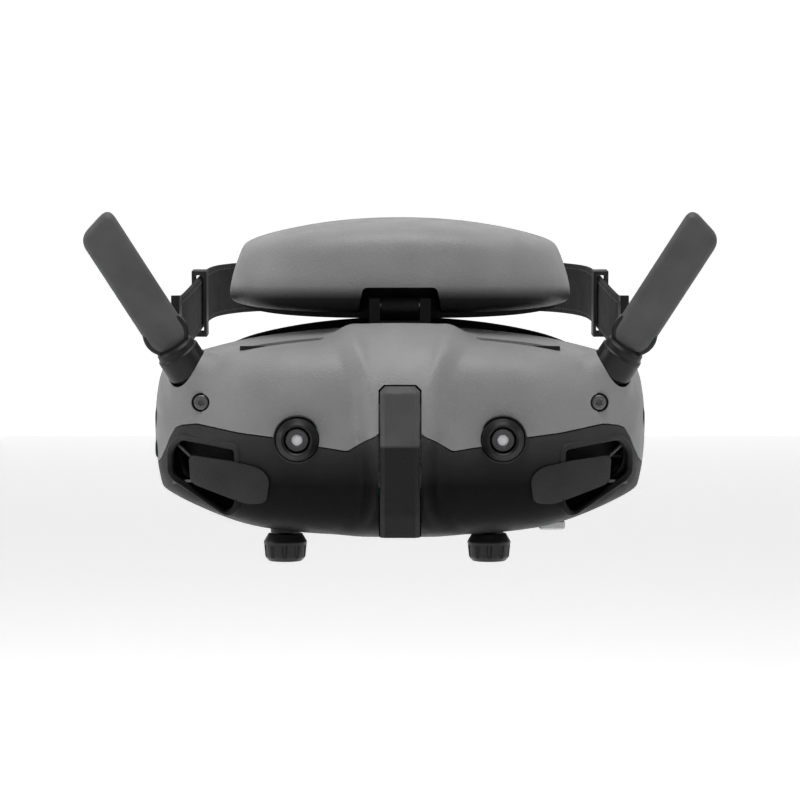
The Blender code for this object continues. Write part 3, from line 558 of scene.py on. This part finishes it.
def surface(name, colour, roughness, grain=0.5, bump=0.2, shade=0.12, metallic=0.0, lower=None, sheen=0.0,
            coat=0.0, weave=None, mirror=0.25):
    """A finish with fine grain, soft tone changes, and uneven gloss.

    grain is the grain's size in millimetres, and shade how much the tone varies.
    lower is (colour, low, high): painted shade, the darker tone that the finish turns to below a height in
    millimetres, standing in for the shade on downward-facing surfaces.
    weave is the thread pitch in millimetres of a cloth laid out on the UV map.
    mirror is the strength of its clear reflections, where 0.5 is ordinary plastic.
    """
    look = bpy.data.materials.new(name)
    look.use_nodes = True
    tree = look.node_tree
    shader = tree.nodes["Principled BSDF"]
    places = tree.nodes.new("ShaderNodeTexCoord")
    place = places.outputs["Object"]
    dark = tuple(c * (1 - shade) for c in colour)
    light = tuple(min(1.0, c * (1 + shade)) for c in colour)
    tone = blend_colour(tree, span(tree, noise(tree, place, 16.0), 0.35, 0.65), dark, light)
    fine = noise(tree, place, grain)
    speck = tuple(min(1.0, c * 1.7) for c in colour)
    tone = blend_colour(tree, span(tree, fine, 0.62, 0.80, 0, 0.35), tone, speck)
    # painted shade: the tone turns darker below a height, where the surfaces face downwards
    if lower:
        height = node(tree, "ShaderNodeSeparateXYZ", {"Vector": place}).outputs["Z"]
        tone = blend_colour(tree, span(tree, height, lower[1] * MM, lower[2] * MM), lower[0], tone)
    relief = fine
    if weave:
        axes = node(tree, "ShaderNodeSeparateXYZ", {"Vector": places.outputs["UV"]})
        waves = [math_node(tree, "SINE", math_node(tree, "MULTIPLY", axes.outputs[axis],
                                                   value=2 * math.pi / (weave * MM))) for axis in ("X", "Y")]
        threads = math_node(tree, "MULTIPLY", waves[0], waves[1])
        relief = math_node(tree, "ADD", span(tree, threads, -1, 1), fine)
        tone = blend_colour(tree, span(tree, threads, -1, 1), tone, tuple(c * 0.45 for c in colour))
    tree.links.new(tone, shader.inputs["Base Color"])
    gloss = span(tree, noise(tree, place, 7.0), 0.3, 0.7, roughness - 0.06, roughness + 0.06)
    tree.links.new(gloss, shader.inputs["Roughness"])
    ridges = node(tree, "ShaderNodeBump", {"Height": relief}, Strength=bump,
                  Distance=0.3 * MM * (weave or grain))
    tree.links.new(ridges.outputs["Normal"], shader.inputs["Normal"])
    shader.inputs["Metallic"].default_value = metallic
    shader.inputs["Specular IOR Level"].default_value = mirror
    shader.inputs["Sheen Weight"].default_value = sheen
    shader.inputs["Coat Weight"].default_value = coat
    return look


LOOKS = {
    "grey": surface("painted_grey", (0.195, 0.195, 0.198), 0.46, 0.7, 1.0, 0.05),
    # grey paint with painted shade: the tone turns near black from 53.5 mm down to 49 mm, standing in for the
    # shade under the module
    "module": surface("painted_grey_module_painted_underside_shade", (0.195, 0.195, 0.198), 0.46, 0.7, 1.0, 0.05,
                      lower=((0.012, 0.012, 0.013), 49.0, 53.5)),
    # black plastic with painted shade: its tone darkens from 3 mm down to -13 mm, standing in for the shade
    # under the lower shell
    "black": surface("black_plastic", (0.034, 0.034, 0.035), 0.44, 0.45, 0.8, 0.12,
                     lower=((0.0022, 0.0022, 0.0024), -13.0, 3.0), mirror=0.07),
    "black_trim": surface("black_trim", (0.009, 0.009, 0.0095), 0.38, 0.4, 0.4, 0.15, mirror=0.2),
    # window plastic with painted shade: below 1.4 mm its tone turns darker, standing in for the shade where
    # the window bends downwards
    "window": surface("window_plastic_painted_lower_shade", (0.070, 0.070, 0.072), 0.44, 0.7, 1.0, 0.12,
                      lower=((0.012, 0.012, 0.0125), 0.4, 1.4), mirror=0.12),
    "dark": surface("dark_plastic", (0.020, 0.020, 0.021), 0.5, 0.7, 1.0, 0.2, mirror=0.14),
    "antenna": surface("antenna_plastic", (0.068, 0.068, 0.070), 0.48, 0.6, 1.0, 0.16, mirror=0.2),
    "satin": surface("satin_plastic", (0.013, 0.013, 0.0135), 0.34, 0.35, 0.3, 0.15, mirror=0.22),
    "deep": surface("deep_black", (0.004, 0.004, 0.004), 0.7, 0.8, 0.4, 0.2),
    "glass": surface("lens_glass", (0.012, 0.013, 0.016), 0.10, 2.0, 0.01, 0.2, coat=1.0),
    # painted highlight: the pale colour stands in for the glint on the camera's glass
    "iris": surface("iris_ring", (0.060, 0.060, 0.062), 0.35, 0.3, 0.2, 0.1),
    "glint": surface("lens_centre_painted_highlight", (0.55, 0.55, 0.56), 0.25, 1.0, 0.02, 0.05),
    "steel": surface("steel", (0.44, 0.44, 0.45), 0.30, 0.3, 0.12, 0.08, metallic=1.0),
    "screw": surface("blackened_steel", (0.12, 0.12, 0.12), 0.36, 0.3, 0.2, 0.1, metallic=0.6),
    "aluminium": surface("aluminium", (0.60, 0.60, 0.61), 0.36, 0.25, 0.15, 0.06, metallic=1.0),
    "board": surface("circuit_board", (0.012, 0.075, 0.035), 0.38, 1.2, 0.3, 0.35),
    "cell": surface("battery_wrap", (0.04, 0.06, 0.12), 0.32, 1.5, 0.1, 0.1, coat=0.4),
    "foam": surface("foam_fabric", (0.012, 0.012, 0.0125), 0.86, 0.8, 1.0, 0.25, sheen=0.06, mirror=0.1),
    "piping": surface("piping", (0.009, 0.009, 0.010), 0.6, 0.5, 0.6, 0.15, sheen=0.1),
    "band": surface("woven_band", (0.012, 0.012, 0.0125), 0.72, 0.4, 1.0, 0.15, sheen=0.04, weave=1.6,
                    mirror=0.1),
    "thread": surface("thread", (0.030, 0.030, 0.031), 0.6, 0.2, 0.5, 0.2, sheen=0.05, mirror=0.1),
}


# ------------------------------------------------------------------ housing
def mirrored(points, side):
    """An outline flipped to one side and still anticlockwise."""
    flipped = [(side * x, z) for x, z in points]
    return flipped if side > 0 else flipped[::-1]


def anticlockwise(points):
    area = sum(a[0] * b[1] - b[0] * a[1] for a, b in zip(points, [*points[1:], points[0]]))
    return list(points) if area > 0 else list(points)[::-1]


def stadium(x, y, half_length, radius, steps=12):
    """A slot outline, long in its first direction."""
    turns = np.linspace(-math.pi / 2, math.pi / 2, steps)
    right = [(x + half_length + radius * math.cos(t), y + radius * math.sin(t)) for t in turns]
    return right + [(2 * x - px, 2 * y - py) for px, py in right]


def upright_slot(outline, low, high):
    """A block along Z whose outline is in X and Y."""
    return loft("slot", [[(x, y, z) for x, y in outline] for z in (low, high)])


def skin(above, rows, columns=STRIP_COLUMNS):
    """A dense copy of the housing's outer surface above or below the seam, with normals."""
    across = stations(HALF_WIDTH, PLAN_POWER, BROW_DEPTH, columns)
    return np.array([resample(split_section(x, above, SEAM_GAP), rows) for x in across])


def skin_patch(name, side, outline, outer, inner):
    """A piece of wall between two depths under the housing's skin, within an outline seen from in front."""
    across = [x for x in stations(HALF_WIDTH, PLAN_POWER, BROW_DEPTH, STRIP_COLUMNS) if 30 < side * x < 84.5]
    strips = np.array([resample(split_section(x, False, -6.0), 70) for x in across])
    layer = housing_wall(name, strips, outer, inner)
    return combined(layer, [prism(anticlockwise(mirrored(outline, side)), -100, -28)], "INTERSECT")


def bead(name, outline, radius, sink, look, body="housing"):
    """A rounded lip that follows an outline on the front of the housing."""
    loop = np.array(outline, float)
    path = np.array([(x, front_y(float(np.clip(x, -84.0, 84.0)), z) + sink, z) for x, z in loop])
    along = np.roll(path, -1, 0) - np.roll(path, 1, 0)
    along /= np.linalg.norm(along, axis=1, keepdims=True)
    forward = np.array((0, -1.0, 0))
    sideways = np.cross(along, forward)
    sideways /= np.linalg.norm(sideways, axis=1, keepdims=True)
    up = np.cross(sideways, along)
    turns = np.linspace(0, 2 * math.pi, 12, endpoint=False)
    rings = [[p + radius * (math.cos(t) * s + math.sin(t) * u) for t in turns]
             for p, s, u in zip(path, sideways, up)]
    return piece(loft(name, rings, path_closed=True), name, body, look)


def drawn_in(points, depth):
    """Points of the housing's skin moved about depth millimetres towards its middle."""
    middle = np.array((0, REAR_RIM_Y, 4.0))
    shrink = 1 - depth / np.array((HALF_WIDTH, BROW_DEPTH, CHIN))
    return middle + (points - middle) * shrink


def housing_wall(name, strips, outer, inner):
    """A closed wall between two depths under the housing's skin."""
    rows, columns = strips.shape[:2]
    points = strips[:, :, :3]
    layers = [drawn_in(points, depth).reshape(-1, 3) for depth in (outer, inner)]
    return made(name, np.concatenate(layers), wall_faces(rows, columns), weld=False)


def build_shells():
    upper = housing_wall("upper", skin(True, 96), 0, SHELL_WALL)
    lower = housing_wall("lower", skin(False, 80), 0, SHELL_WALL)
    shared = {True: [], False: []}
    for above in (True, False):
        for side in (-1, 1):
            shared[above].append(rod((side * CAMERA[0], -92, CAMERA[1]), (side * CAMERA[0], -60, CAMERA[1]),
                                     CAMERA_HOLE_R, 64))
        half = WINDOW_HALF + 0.5
        opening = [(-half, WINDOW_FOOT - 12), (half, WINDOW_FOOT - 12), (half, WINDOW_TOP - 1.2),
                   (half - 1.8, WINDOW_TOP + 0.5), (-half + 1.8, WINDOW_TOP + 0.5), (-half, WINDOW_TOP - 1.2)]
        shared[above].append(prism(opening, -98, -62))
    for side in (-1, 1):
        axis = antenna_axis(side)
        centre = antenna_point(side, 0)
        shared[True].append(rod(centre - 10 * axis, centre + 10 * axis, COLLAR_HOLE_R, 64))
        y = front_y(side * SCREW[0], SCREW[1])
        shared[True].append(rod((side * SCREW[0], y - 6, SCREW[1]), (side * SCREW[0], y + 6, SCREW[1]),
                                SCREW_WELL_R, 48))
        shared[True].append(upright_slot(stadium(side * TOP_VENT[0], TOP_VENT[1], 11.2, 3.2), 22, 46))
        opening = mirrored(round_outline(VENT_OPENING, VENT_ROUNDING, 6), side)
        shared[False].append(prism(anticlockwise(opening), -95, -42))
        knob_x = side * (HALF_IPD - IPD_TRAVEL / 2) + KNOB_OFFSET_X
        shared[False].append(upright_slot(stadium(knob_x, RAIL_Y, IPD_TRAVEL / 2, KNOB_SLOT_R), -40, -22))
        for z in (8.0, -2.5)[:2 if side < 0 else 1]:
            shared[True].append(rod((side * 74, BUTTON_Y, z), (side * 90, BUTTON_Y, z), 3.7, 48))
    shared[False].append(block((47.5, -38.3, -34), (57.5, -34.5, -24)))
    shared[True].append(block((-11.4, HINGE[0] - 3.4, 32), (11.4, HINGE[0] + 3.4, 50)))
    piece(combined(upper, shared[True], "DIFFERENCE"), "upper_housing_shell", "housing", "grey",
          ["front_upper_shell"])
    # the lower shell's black finish carries painted shade that darkens it towards the bottom
    piece(combined(lower, shared[False], "DIFFERENCE"), "lower_housing_shell", "housing", "black",
          ["front_lower_shell"])


def build_vents():
    for name, side in SIDES:
        panel = skin_patch("panel", side, round_outline(VENT_PANEL, VENT_ROUNDING, 6), -0.8, 2.4)
        piece(panel, f"{name}_vent_cover", "housing", "dark", [f"{name}_vent_panel"], 40)
        duct_outline = [(79.5, 4.0), (52.5, 1.0), (52.5, -22.0), (57.8, -25.5), (79.5, -13.0)]
        duct = skin_patch("duct", side, duct_outline, 7.0, 8.2)
        piece(duct, f"{name}_vent_duct", "housing", "deep")
        edge = round_outline(mirrored(VENT_OPENING, side), VENT_ROUNDING, 6)
        bead(f"{name}_vent_lip", edge, 1.2, 0.45, "black")
        for number, (start, end) in enumerate((((76.4, 0.6), (70.9, -4.0)), ((77.4, -13.4), (70.6, -12.4)))):
            ends = [(side * x, front_y(side * x, z) + 2.6, z) for x, z in (start, end)]
            piece(rod(*ends, 0.55, 20), f"{name}_vent_strut_{number}", "housing", "antenna")


def build_front():
    for name, side in SIDES:
        centre = (side * CAMERA[0], CAMERA_FRONT_Y, CAMERA[1])
        forward = (0, -1, 0)
        profile = [(7.1, -5.5), (7.1, 3.9), (5.2, 6.6), (4.4, 6.0), (4.2, -5.5)]
        bezel = ring_turned("bezel", profile, centre, forward)
        piece(bezel, f"{name}_camera_ring", "housing", "black_trim", [f"{name}_camera_bezel"])
        profile = [(0, 4.1), (1.9, 4.1), (2.3, 4.4), (3.7, 4.7), (4.05, 3.6), (4.05, -4), (0, -4)]
        plate = turned("plate", profile, centre, forward)
        piece(plate, f"{name}_camera_iris", "housing", "iris", [f"{name}_camera_lens"])
        # the small glass dome in each camera is coloured pale as a painted highlight
        profile = [(0, 5.0), (1.2, 4.8), (1.9, 4.3), (1.9, 3.8), (0, 3.8)]
        dome = turned("dome", profile, centre, forward, 48, 0.6)
        piece(dome, f"{name}_camera_glass_painted_highlight", "housing", "glint")
        y = front_y(side * SCREW[0], SCREW[1])
        seat = (side * SCREW[0], y, SCREW[1])
        profile = [(0, 0.4), (2.2, 0.4), (2.6, 0.0), (2.6, -1.6), (0, -1.6)]
        head = turned("head", profile, seat, forward, 48)
        lobes = [(side * SCREW[0] + r * math.sin(t), SCREW[1] + r * math.cos(t))
                 for t in np.linspace(0, 2 * math.pi, 36, endpoint=False)
                 for r in [1.05 + 0.22 * math.cos(6 * t)]]
        piece(combined(head, [prism(anticlockwise(lobes), y - 3, y + 0.5)], "DIFFERENCE"),
              f"{name}_housing_screw", "housing", "screw", [f"{name}_shell_screw"])
        profile = [(SCREW_WELL_R, 0.25), (3.25, 0.25), (3.25, -2.4),
                   (2.0, -2.4), (2.0, -1.9), (SCREW_WELL_R, -1.9)]
        well = ring_turned("well", profile, seat, forward, 48)
        piece(well, f"{name}_screw_well", "housing", "black_trim")
        profile = [(CAMERA_HOLE_R, -3.0), (8.1, -3.0), (8.1, 1.2), (CAMERA_HOLE_R, 1.4)]
        lip = ring_turned("lip", profile, centre, forward)
        piece(lip, f"{name}_camera_lip", "housing", "black_trim")
    build_window()


def build_window():
    """The centre window: a narrow bar with bevelled sides that follows the ridge from its top to the chin."""
    near_top = np.linspace(WINDOW_TOP, WINDOW_TOP - 3, 7)
    heights = np.concatenate([near_top, np.linspace(WINDOW_TOP - 4, WINDOW_FOOT + 1, 44)])
    profile_z = [WINDOW_FOOT, -22.0, 1.0, WINDOW_TOP - 2.2, WINDOW_TOP]
    profile_y = [-81.6, -85.6, -87.4, -86.8, -84.6]
    rings = []
    for z in heights:
        front = float(np.interp(z, profile_z, profile_y))
        half = WINDOW_HALF - 1.7 * max(0.0, (z - (WINDOW_TOP - 1.6)) / 1.6)
        face = half - 1.6
        right = [(half, -79, z), (half, front + 1.7, z), (face + 0.1, front + 0.1, z), (face - 0.4, front, z)]
        rings.append([(-x, y, height) for x, y, height in right] + right[::-1])
    # the window's finish carries painted shade on its lower part
    piece(loft("window", rings), "centre_window_bar", "housing", "window", ["center_window"], 20)


# ------------------------------------------------------------------ antennas
def build_antennas():
    for name, side in SIDES:
        axis = antenna_axis(side)
        across = (antenna_point(side, 0, 1.0) - antenna_point(side, 0)).normalized()
        collar = turned("collar", [(0, 5.2), (5.4, 5.2), (6.6, 4.4), (6.9, 2.4), (7.45, 2.0), (7.45, 0.4),
                                   (7.45, -5.5), (5.5, -7.5), (0, -7.5)], antenna_point(side, 0), axis, 96)
        base = f"{name}_antenna_base"
        piece(collar, f"{name}_antenna_collar", base, "black_trim", [f"{name}_antenna_socket"])
        turn = Matrix((across, axis, across.cross(axis))).transposed()
        pivot = antenna_point(side, PIVOT)
        around = np.linspace(0, 2 * math.pi, 72, endpoint=False)
        disc = [(KNUCKLE_R * math.cos(t), KNUCKLE_R * math.sin(t)) for t in around]
        knuckle = pebble("disc", disc, 4.2, 1.2, pivot, turn, 0)
        piece(knuckle, f"{name}_antenna_knuckle", base, "black_trim", [f"{name}_antenna_pin"])
        half, top = BLADE_HALF, BLADE_TIP - PIVOT
        foot = [(half * math.cos(t), half * math.sin(t)) for t in np.linspace(math.pi, 2 * math.pi, 40)]
        crown = filleted([(half, 0), (half, top - 3.9), (-half, top + 0.2), (-half, 0)],
                         4.6, 12)[1:-1]
        outline = [*foot, *crown]
        paddle = pebble("blade", anticlockwise(outline), BLADE_THICK, BLADE_EDGE, pivot, turn, top - 8, 9)
        piece(paddle, f"{name}_antenna_paddle", f"{name}_antenna", "antenna", [f"{name}_antenna_blade"], 50)


# ------------------------------------------------------------------ forehead module
def forehead_sheet(name, rear, thick, foot, top, half, rows, columns, crown=0.0):
    """A plate or pad that follows the forehead; crown is how far its middle stands proud of its edges."""
    strips = []
    for x in np.linspace(-half, half, columns):
        end = float(0.5 + 0.5 * rounded_end(x, half * 1.02, 3))
        middle = (foot + top) / 2
        line = []
        for share in np.linspace(-1, 1, rows):
            z = middle + share * (top - foot) / 2 * end
            swell = crown * (1 - abs(x / half) ** 6) * (1 - share ** 6)
            line.append((x * module_lean(z), rear + x * x / 170 - crown + swell, z, 0, 1, 0))
        strips.append(line)
    return walled(name, np.array(strips, float), thick - crown)


def build_module():
    across = stations(MODULE_HALF_WIDTH, PLAN_POWER, MODULE_DEPTH, 141)
    strips = np.array([resample(with_normals(module_section, x, MODULE_HALF_WIDTH), 90) for x in across])
    shell = walled("module", strips, 1.8)
    notch = prism(round_outline([(-16, 38), (16, 38), (12.6, 53), (-12.6, 53)], 1.6, 5), -90, 5)
    # the module's finish carries painted shade on its underside
    piece(combined(shell, [notch], "DIFFERENCE"), "forehead_housing", "forehead_module", "module",
          ["forehead_shell"])
    piece(forehead_sheet("plate", -12.2, 2.5, 42.0, 74.6, 57.2, 21, 81), "forehead_plate", "forehead_module",
          "black_trim", ["forehead_base"])
    pad = forehead_sheet("pad", -2.0, 10.0, 43.5, 74.0, 55.5, 25, 81, 2.2)
    soften(pad)
    piece(pad, "forehead_pad", "forehead_module", "foam", ["forehead_cushion"], 180)


def soften(obj):
    """Rounds a pad's hard rim."""
    edge = obj.modifiers.new("rim", "BEVEL")
    edge.width = 1.6 * MM
    edge.segments = 4
    edge.limit_method = "ANGLE"
    edge.angle_limit = math.radians(50)


# ------------------------------------------------------------------ rear side
def rim_outline(scale, lift, arch, count=180):
    """The rear rim's outline in X and Z, scaled, raised along its top and arched over the nose."""
    points = []
    for i in range(count):
        angle = 2 * math.pi * i / count
        x = HALF_WIDTH * math.copysign(abs(math.sin(angle)) ** 0.72, math.sin(angle))
        section = housing_section(min(abs(x), HALF_WIDTH * 0.995), 3)
        brow = BROW_TOP * (1 - 0.17 * (x / 68) ** 2)
        top = min(section[-1][2], brow * rounded_end(x, HALF_WIDTH, 9)) + lift * fall(x, 50, 84)
        foot = section[0][2] + arch * fall(x, 3, 21)
        share = abs(math.cos(angle)) ** 0.35
        z = share * (top if math.cos(angle) > 0 else foot)
        points.append((x * scale, z * scale))
    return points


def build_face_cushion():
    outer, inner = rim_outline(0.985, 3.0, 20.0), rim_outline(0.80, 3.0, 20.0)
    turns = np.linspace(0, 2 * math.pi, 28, endpoint=False)
    rings, edge = [], []
    for (ox, oz), (ix, iz) in zip(outer, inner):
        rear = 14 * (ox / HALF_WIDTH) ** 2
        middle, half = (rear - 9.0) / 2, (rear + 9.0) / 2
        ring = []
        for t in turns:
            a = 0.5 + 0.5 * math.copysign(abs(math.cos(t)) ** 0.6, math.cos(t))
            y = middle + half * math.copysign(abs(math.sin(t)) ** 0.6, math.sin(t))
            ring.append((ix + (ox - ix) * a, y, iz + (oz - iz) * a))
        rings.append(ring)
        edge.append(Vector((ox * 0.997, -7.6, oz * 0.997)))
    pad = piece(loft("pad", rings, path_closed=True), "face_pad", "housing", "foam", ["face_cushion"], 180)
    around = np.linspace(0, 2 * math.pi, 10, endpoint=False)
    tube = []
    for point in edge:
        out = Vector((point.x, 0, point.z)).normalized()
        tube.append([point + 0.8 * (math.cos(t) * out + math.sin(t) * Vector((0, 1, 0))) for t in around])
    piece(loft("piping", tube, path_closed=True), "face_pad_piping", "housing", "piping", angle=180)


# ------------------------------------------------------------------ eyepieces, knobs and buttons
def build_eyepieces():
    for name, side in SIDES:
        x = side * HALF_IPD
        profile = [(18.0, 24), (18.0, -3), (16.4, -4), (15.4, -3), (15.4, 22), (13, 22), (13, 24)]
        barrel = ring_turned("barrel", profile, (x, -24, 0), (0, -1, 0), 96)
        piece(barrel, f"{name}_barrel", f"{name}_eyepiece", "satin", [f"{name}_lens_barrel"])
        lens = turned("lens", [(0, 2.6), (8, 2.1), (15.0, 0.8), (15.0, -1.2), (8, -2.8), (0, -3.4)],
                      (x, -24.6, 0), (0, -1, 0), 96, 2.0)
        piece(lens, f"{name}_lens", f"{name}_eyepiece", "glass", [f"{name}_eyepiece_lens"])
        knob_x = x + KNOB_OFFSET_X
        profile = [(0, KNOB_TOP), (5.8, KNOB_TOP), (KNOB_R, KNOB_TOP - 2.9), (7.35, KNOB_TOP - 3.6),
                   (6.9, KNOB_FOOT + 1.5), (5.6, KNOB_FOOT), (0, KNOB_FOOT)]
        knob = turned("knob", profile, (knob_x, RAIL_Y, 0), (0, 0, 1), 96, 0.4)
        slots = []
        for i in range(KNOB_SLOTS):
            turn = 2 * math.pi * (i + 0.5) / KNOB_SLOTS
            out = Vector((math.cos(turn), math.sin(turn), 0))
            low = Vector((knob_x, RAIL_Y, KNOB_FOOT - 1)) + out * KNOB_R
            high = Vector((knob_x, RAIL_Y, KNOB_TOP - 4.0)) + out * KNOB_R
            slots.append(rod(low, high, 1.0, 24))
        combined(knob, slots, "DIFFERENCE")
        piece(knob, f"{name}_focus_knob", f"{name}_dial", "satin", [f"{name}_knob"], 40)
    places = {"five_way_button": (-1, 8.0), "back_button": (-1, -2.5), "power_button": (1, 8.0)}
    profile = [(0, 1.0), (1.4, 1.0), (1.8, 0.75), (2.6, 1.0), (3.4, 0.5), (3.4, -4.0), (0, -4.0)]
    for node_name, (side, z) in places.items():
        cap = turned("cap", profile, (side * BUTTON_FACE_X, BUTTON_Y, z), (side, 0, 0), 64)
        piece(cap, f"{node_name}_cap", node_name, "dark", [node_name])


# ------------------------------------------------------------------ headband
def point_along(distance, along, values):
    """The value at a distance along a path, between those of its points."""
    return np.array([np.interp(distance, along, values[:, k]) for k in range(3)])


def build_band():
    path = band_path(260)
    outward = -np.cross(np.gradient(path, axis=0), (0, 0, 1))
    outward /= np.linalg.norm(outward, axis=1, keepdims=True)
    along = length_along(path)
    turns = np.linspace(0, 2 * math.pi, 40, endpoint=False)
    depth = np.sign(np.cos(turns)) * np.abs(np.cos(turns)) ** 0.35 * BAND_THICK / 2
    height = np.sign(np.sin(turns)) * np.abs(np.sin(turns)) ** 0.35 * BAND_HALF
    rise = height[None, :, None] * np.array((0, 0, 1.0))
    rings = path[:, None, :] + depth[None, :, None] * outward[:, None, :] + rise
    strap = loft("strap", rings, weld=False)
    uv = strap.data.uv_layers.new(name="weave")
    count = len(turns)
    for loop in strap.data.loops:
        ring, spot = divmod(loop.vertex_index, count)
        uv.data[loop.index].uv = (along[ring] * MM, height[spot] * MM)
    piece(strap, "head_strap", "housing", "band", ["headband"], 60)
    stitches, faces = [], []
    corners = ((-0.28, 0.85), (0.28, 0.85), (0.18, 1.15), (-0.18, 1.15))
    for face_side in (-1, 1):
        for edge in (STITCH_INSET - BAND_HALF, BAND_HALF - STITCH_INSET):
            for start in np.arange(4.0, along[-1] - 4.0, STITCH_PITCH):
                p = point_along(start, along, path)
                q = point_along(start + STITCH_LENGTH, along, path)
                n = point_along(start, along, outward) * face_side
                base = len(stitches)
                for end in (p, q):
                    stitches += [end + n * lift + np.array((0, 0, edge + up)) for up, lift in corners]
                faces += [(base, base + 1, base + 2, base + 3), (base + 7, base + 6, base + 5, base + 4)]
                for i in range(4):
                    after = (i + 1) % 4
                    faces.append((base + i, base + 4 + i, base + 4 + after, base + after))
    piece(made("stitches", stitches, faces), "head_strap_stitches", "housing", "thread")


# ------------------------------------------------------------------ CAD parts that stay, studio and camera
CAD_LOOKS = {
    "satin": ["left_knob_stem", "right_knob_stem", "cushion_carrier", "rear_frame", "left_band_lug",
              "right_band_lug", "proximity_sensor", "left_carriage", "right_carriage"],
    "black_trim": ["inner_chassis", "left_fan_frame", "hinge_bracket"],
    "dark": ["left_band_slider", "right_band_slider", "hinge_arm", "left_fan_rotor", "left_top_grille",
             "right_top_grille"],
    "steel": ["hinge_pin", "lower_guide_rail", "upper_guide_rail", "usb_port"],
    "aluminium": ["heat_sink"],
    "board": ["main_board"],
    "cell": ["battery_pack"],
    "glass": ["left_display", "right_display"],
}


def finish_cad_parts():
    for look, names in CAD_LOOKS.items():
        for name in names:
            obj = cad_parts[name]
            for slot in obj.material_slots:
                slot.material = LOOKS[look]


def area_light(name, place, aim, size, power, shade=1.0):
    lamp = bpy.data.lights.new(name, "AREA")
    lamp.shape = "DISK"
    lamp.size = size
    lamp.energy = power
    lamp.color = (shade, shade, shade)
    obj = bpy.data.objects.new(name, lamp)
    bpy.context.scene.collection.objects.link(obj)
    obj.location = place
    obj.rotation_euler = (Vector(aim) - Vector(place)).to_track_quat("-Z", "Y").to_euler()
    obj.visible_camera = False


def glowing(name, tone, rough, strength):
    """A pale paper that gives off some light of its own."""
    material = surface(name, (tone, tone, tone), rough, 5.0, 0.02, 0.01)
    shader = material.node_tree.nodes["Principled BSDF"]
    shader.inputs["Emission Color"].default_value = (1, 1, 1, 1)
    shader.inputs["Emission Strength"].default_value = strength
    return material


def build_studio():
    low = FLOOR_TOP - 5
    floor = loft("floor", [[(-6000, -6000, z), (6000, -6000, z), (6000, 6000, z), (-6000, 6000, z)]
                           for z in (low, FLOOR_TOP)])
    floor.data.materials.append(glowing("pale_floor", 0.86, 0.8, FLOOR_GLOW))
    wall = loft("backdrop", [[(-7000, y, low), (7000, y, low), (7000, y, 6000), (-7000, y, 6000)]
                             for y in (BACKDROP_Y, BACKDROP_Y + 10)])
    wall.data.materials.append(glowing("backdrop_paper", 0.9, 0.9, BACKDROP_GLOW))
    scene = bpy.context.scene
    scene.view_settings.view_transform = "Standard"
    world = bpy.data.worlds.new("studio")
    world.use_nodes = True
    scene.world = world
    sky = world.node_tree.nodes["Background"]
    sky.inputs["Color"].default_value = (1, 1, 1, 1)
    sky.inputs["Strength"].default_value = WORLD_LIGHT
    for light in LIGHTS:
        area_light(*light)
    camera = bpy.data.cameras.new("camera")
    camera.lens = VIEW_LENS
    camera.sensor_width = 36
    obj = bpy.data.objects.new("camera", camera)
    scene.collection.objects.link(obj)
    obj.location = VIEW_FROM
    obj.rotation_euler = (VIEW_TO - VIEW_FROM).to_track_quat("-Z", "Y").to_euler()
    scene.camera = obj


build_shells()
build_vents()
build_front()
build_antennas()
build_module()
build_face_cushion()
build_eyepieces()
build_band()
finish_cad_parts()
build_studio()
bpy.context.view_layer.update()
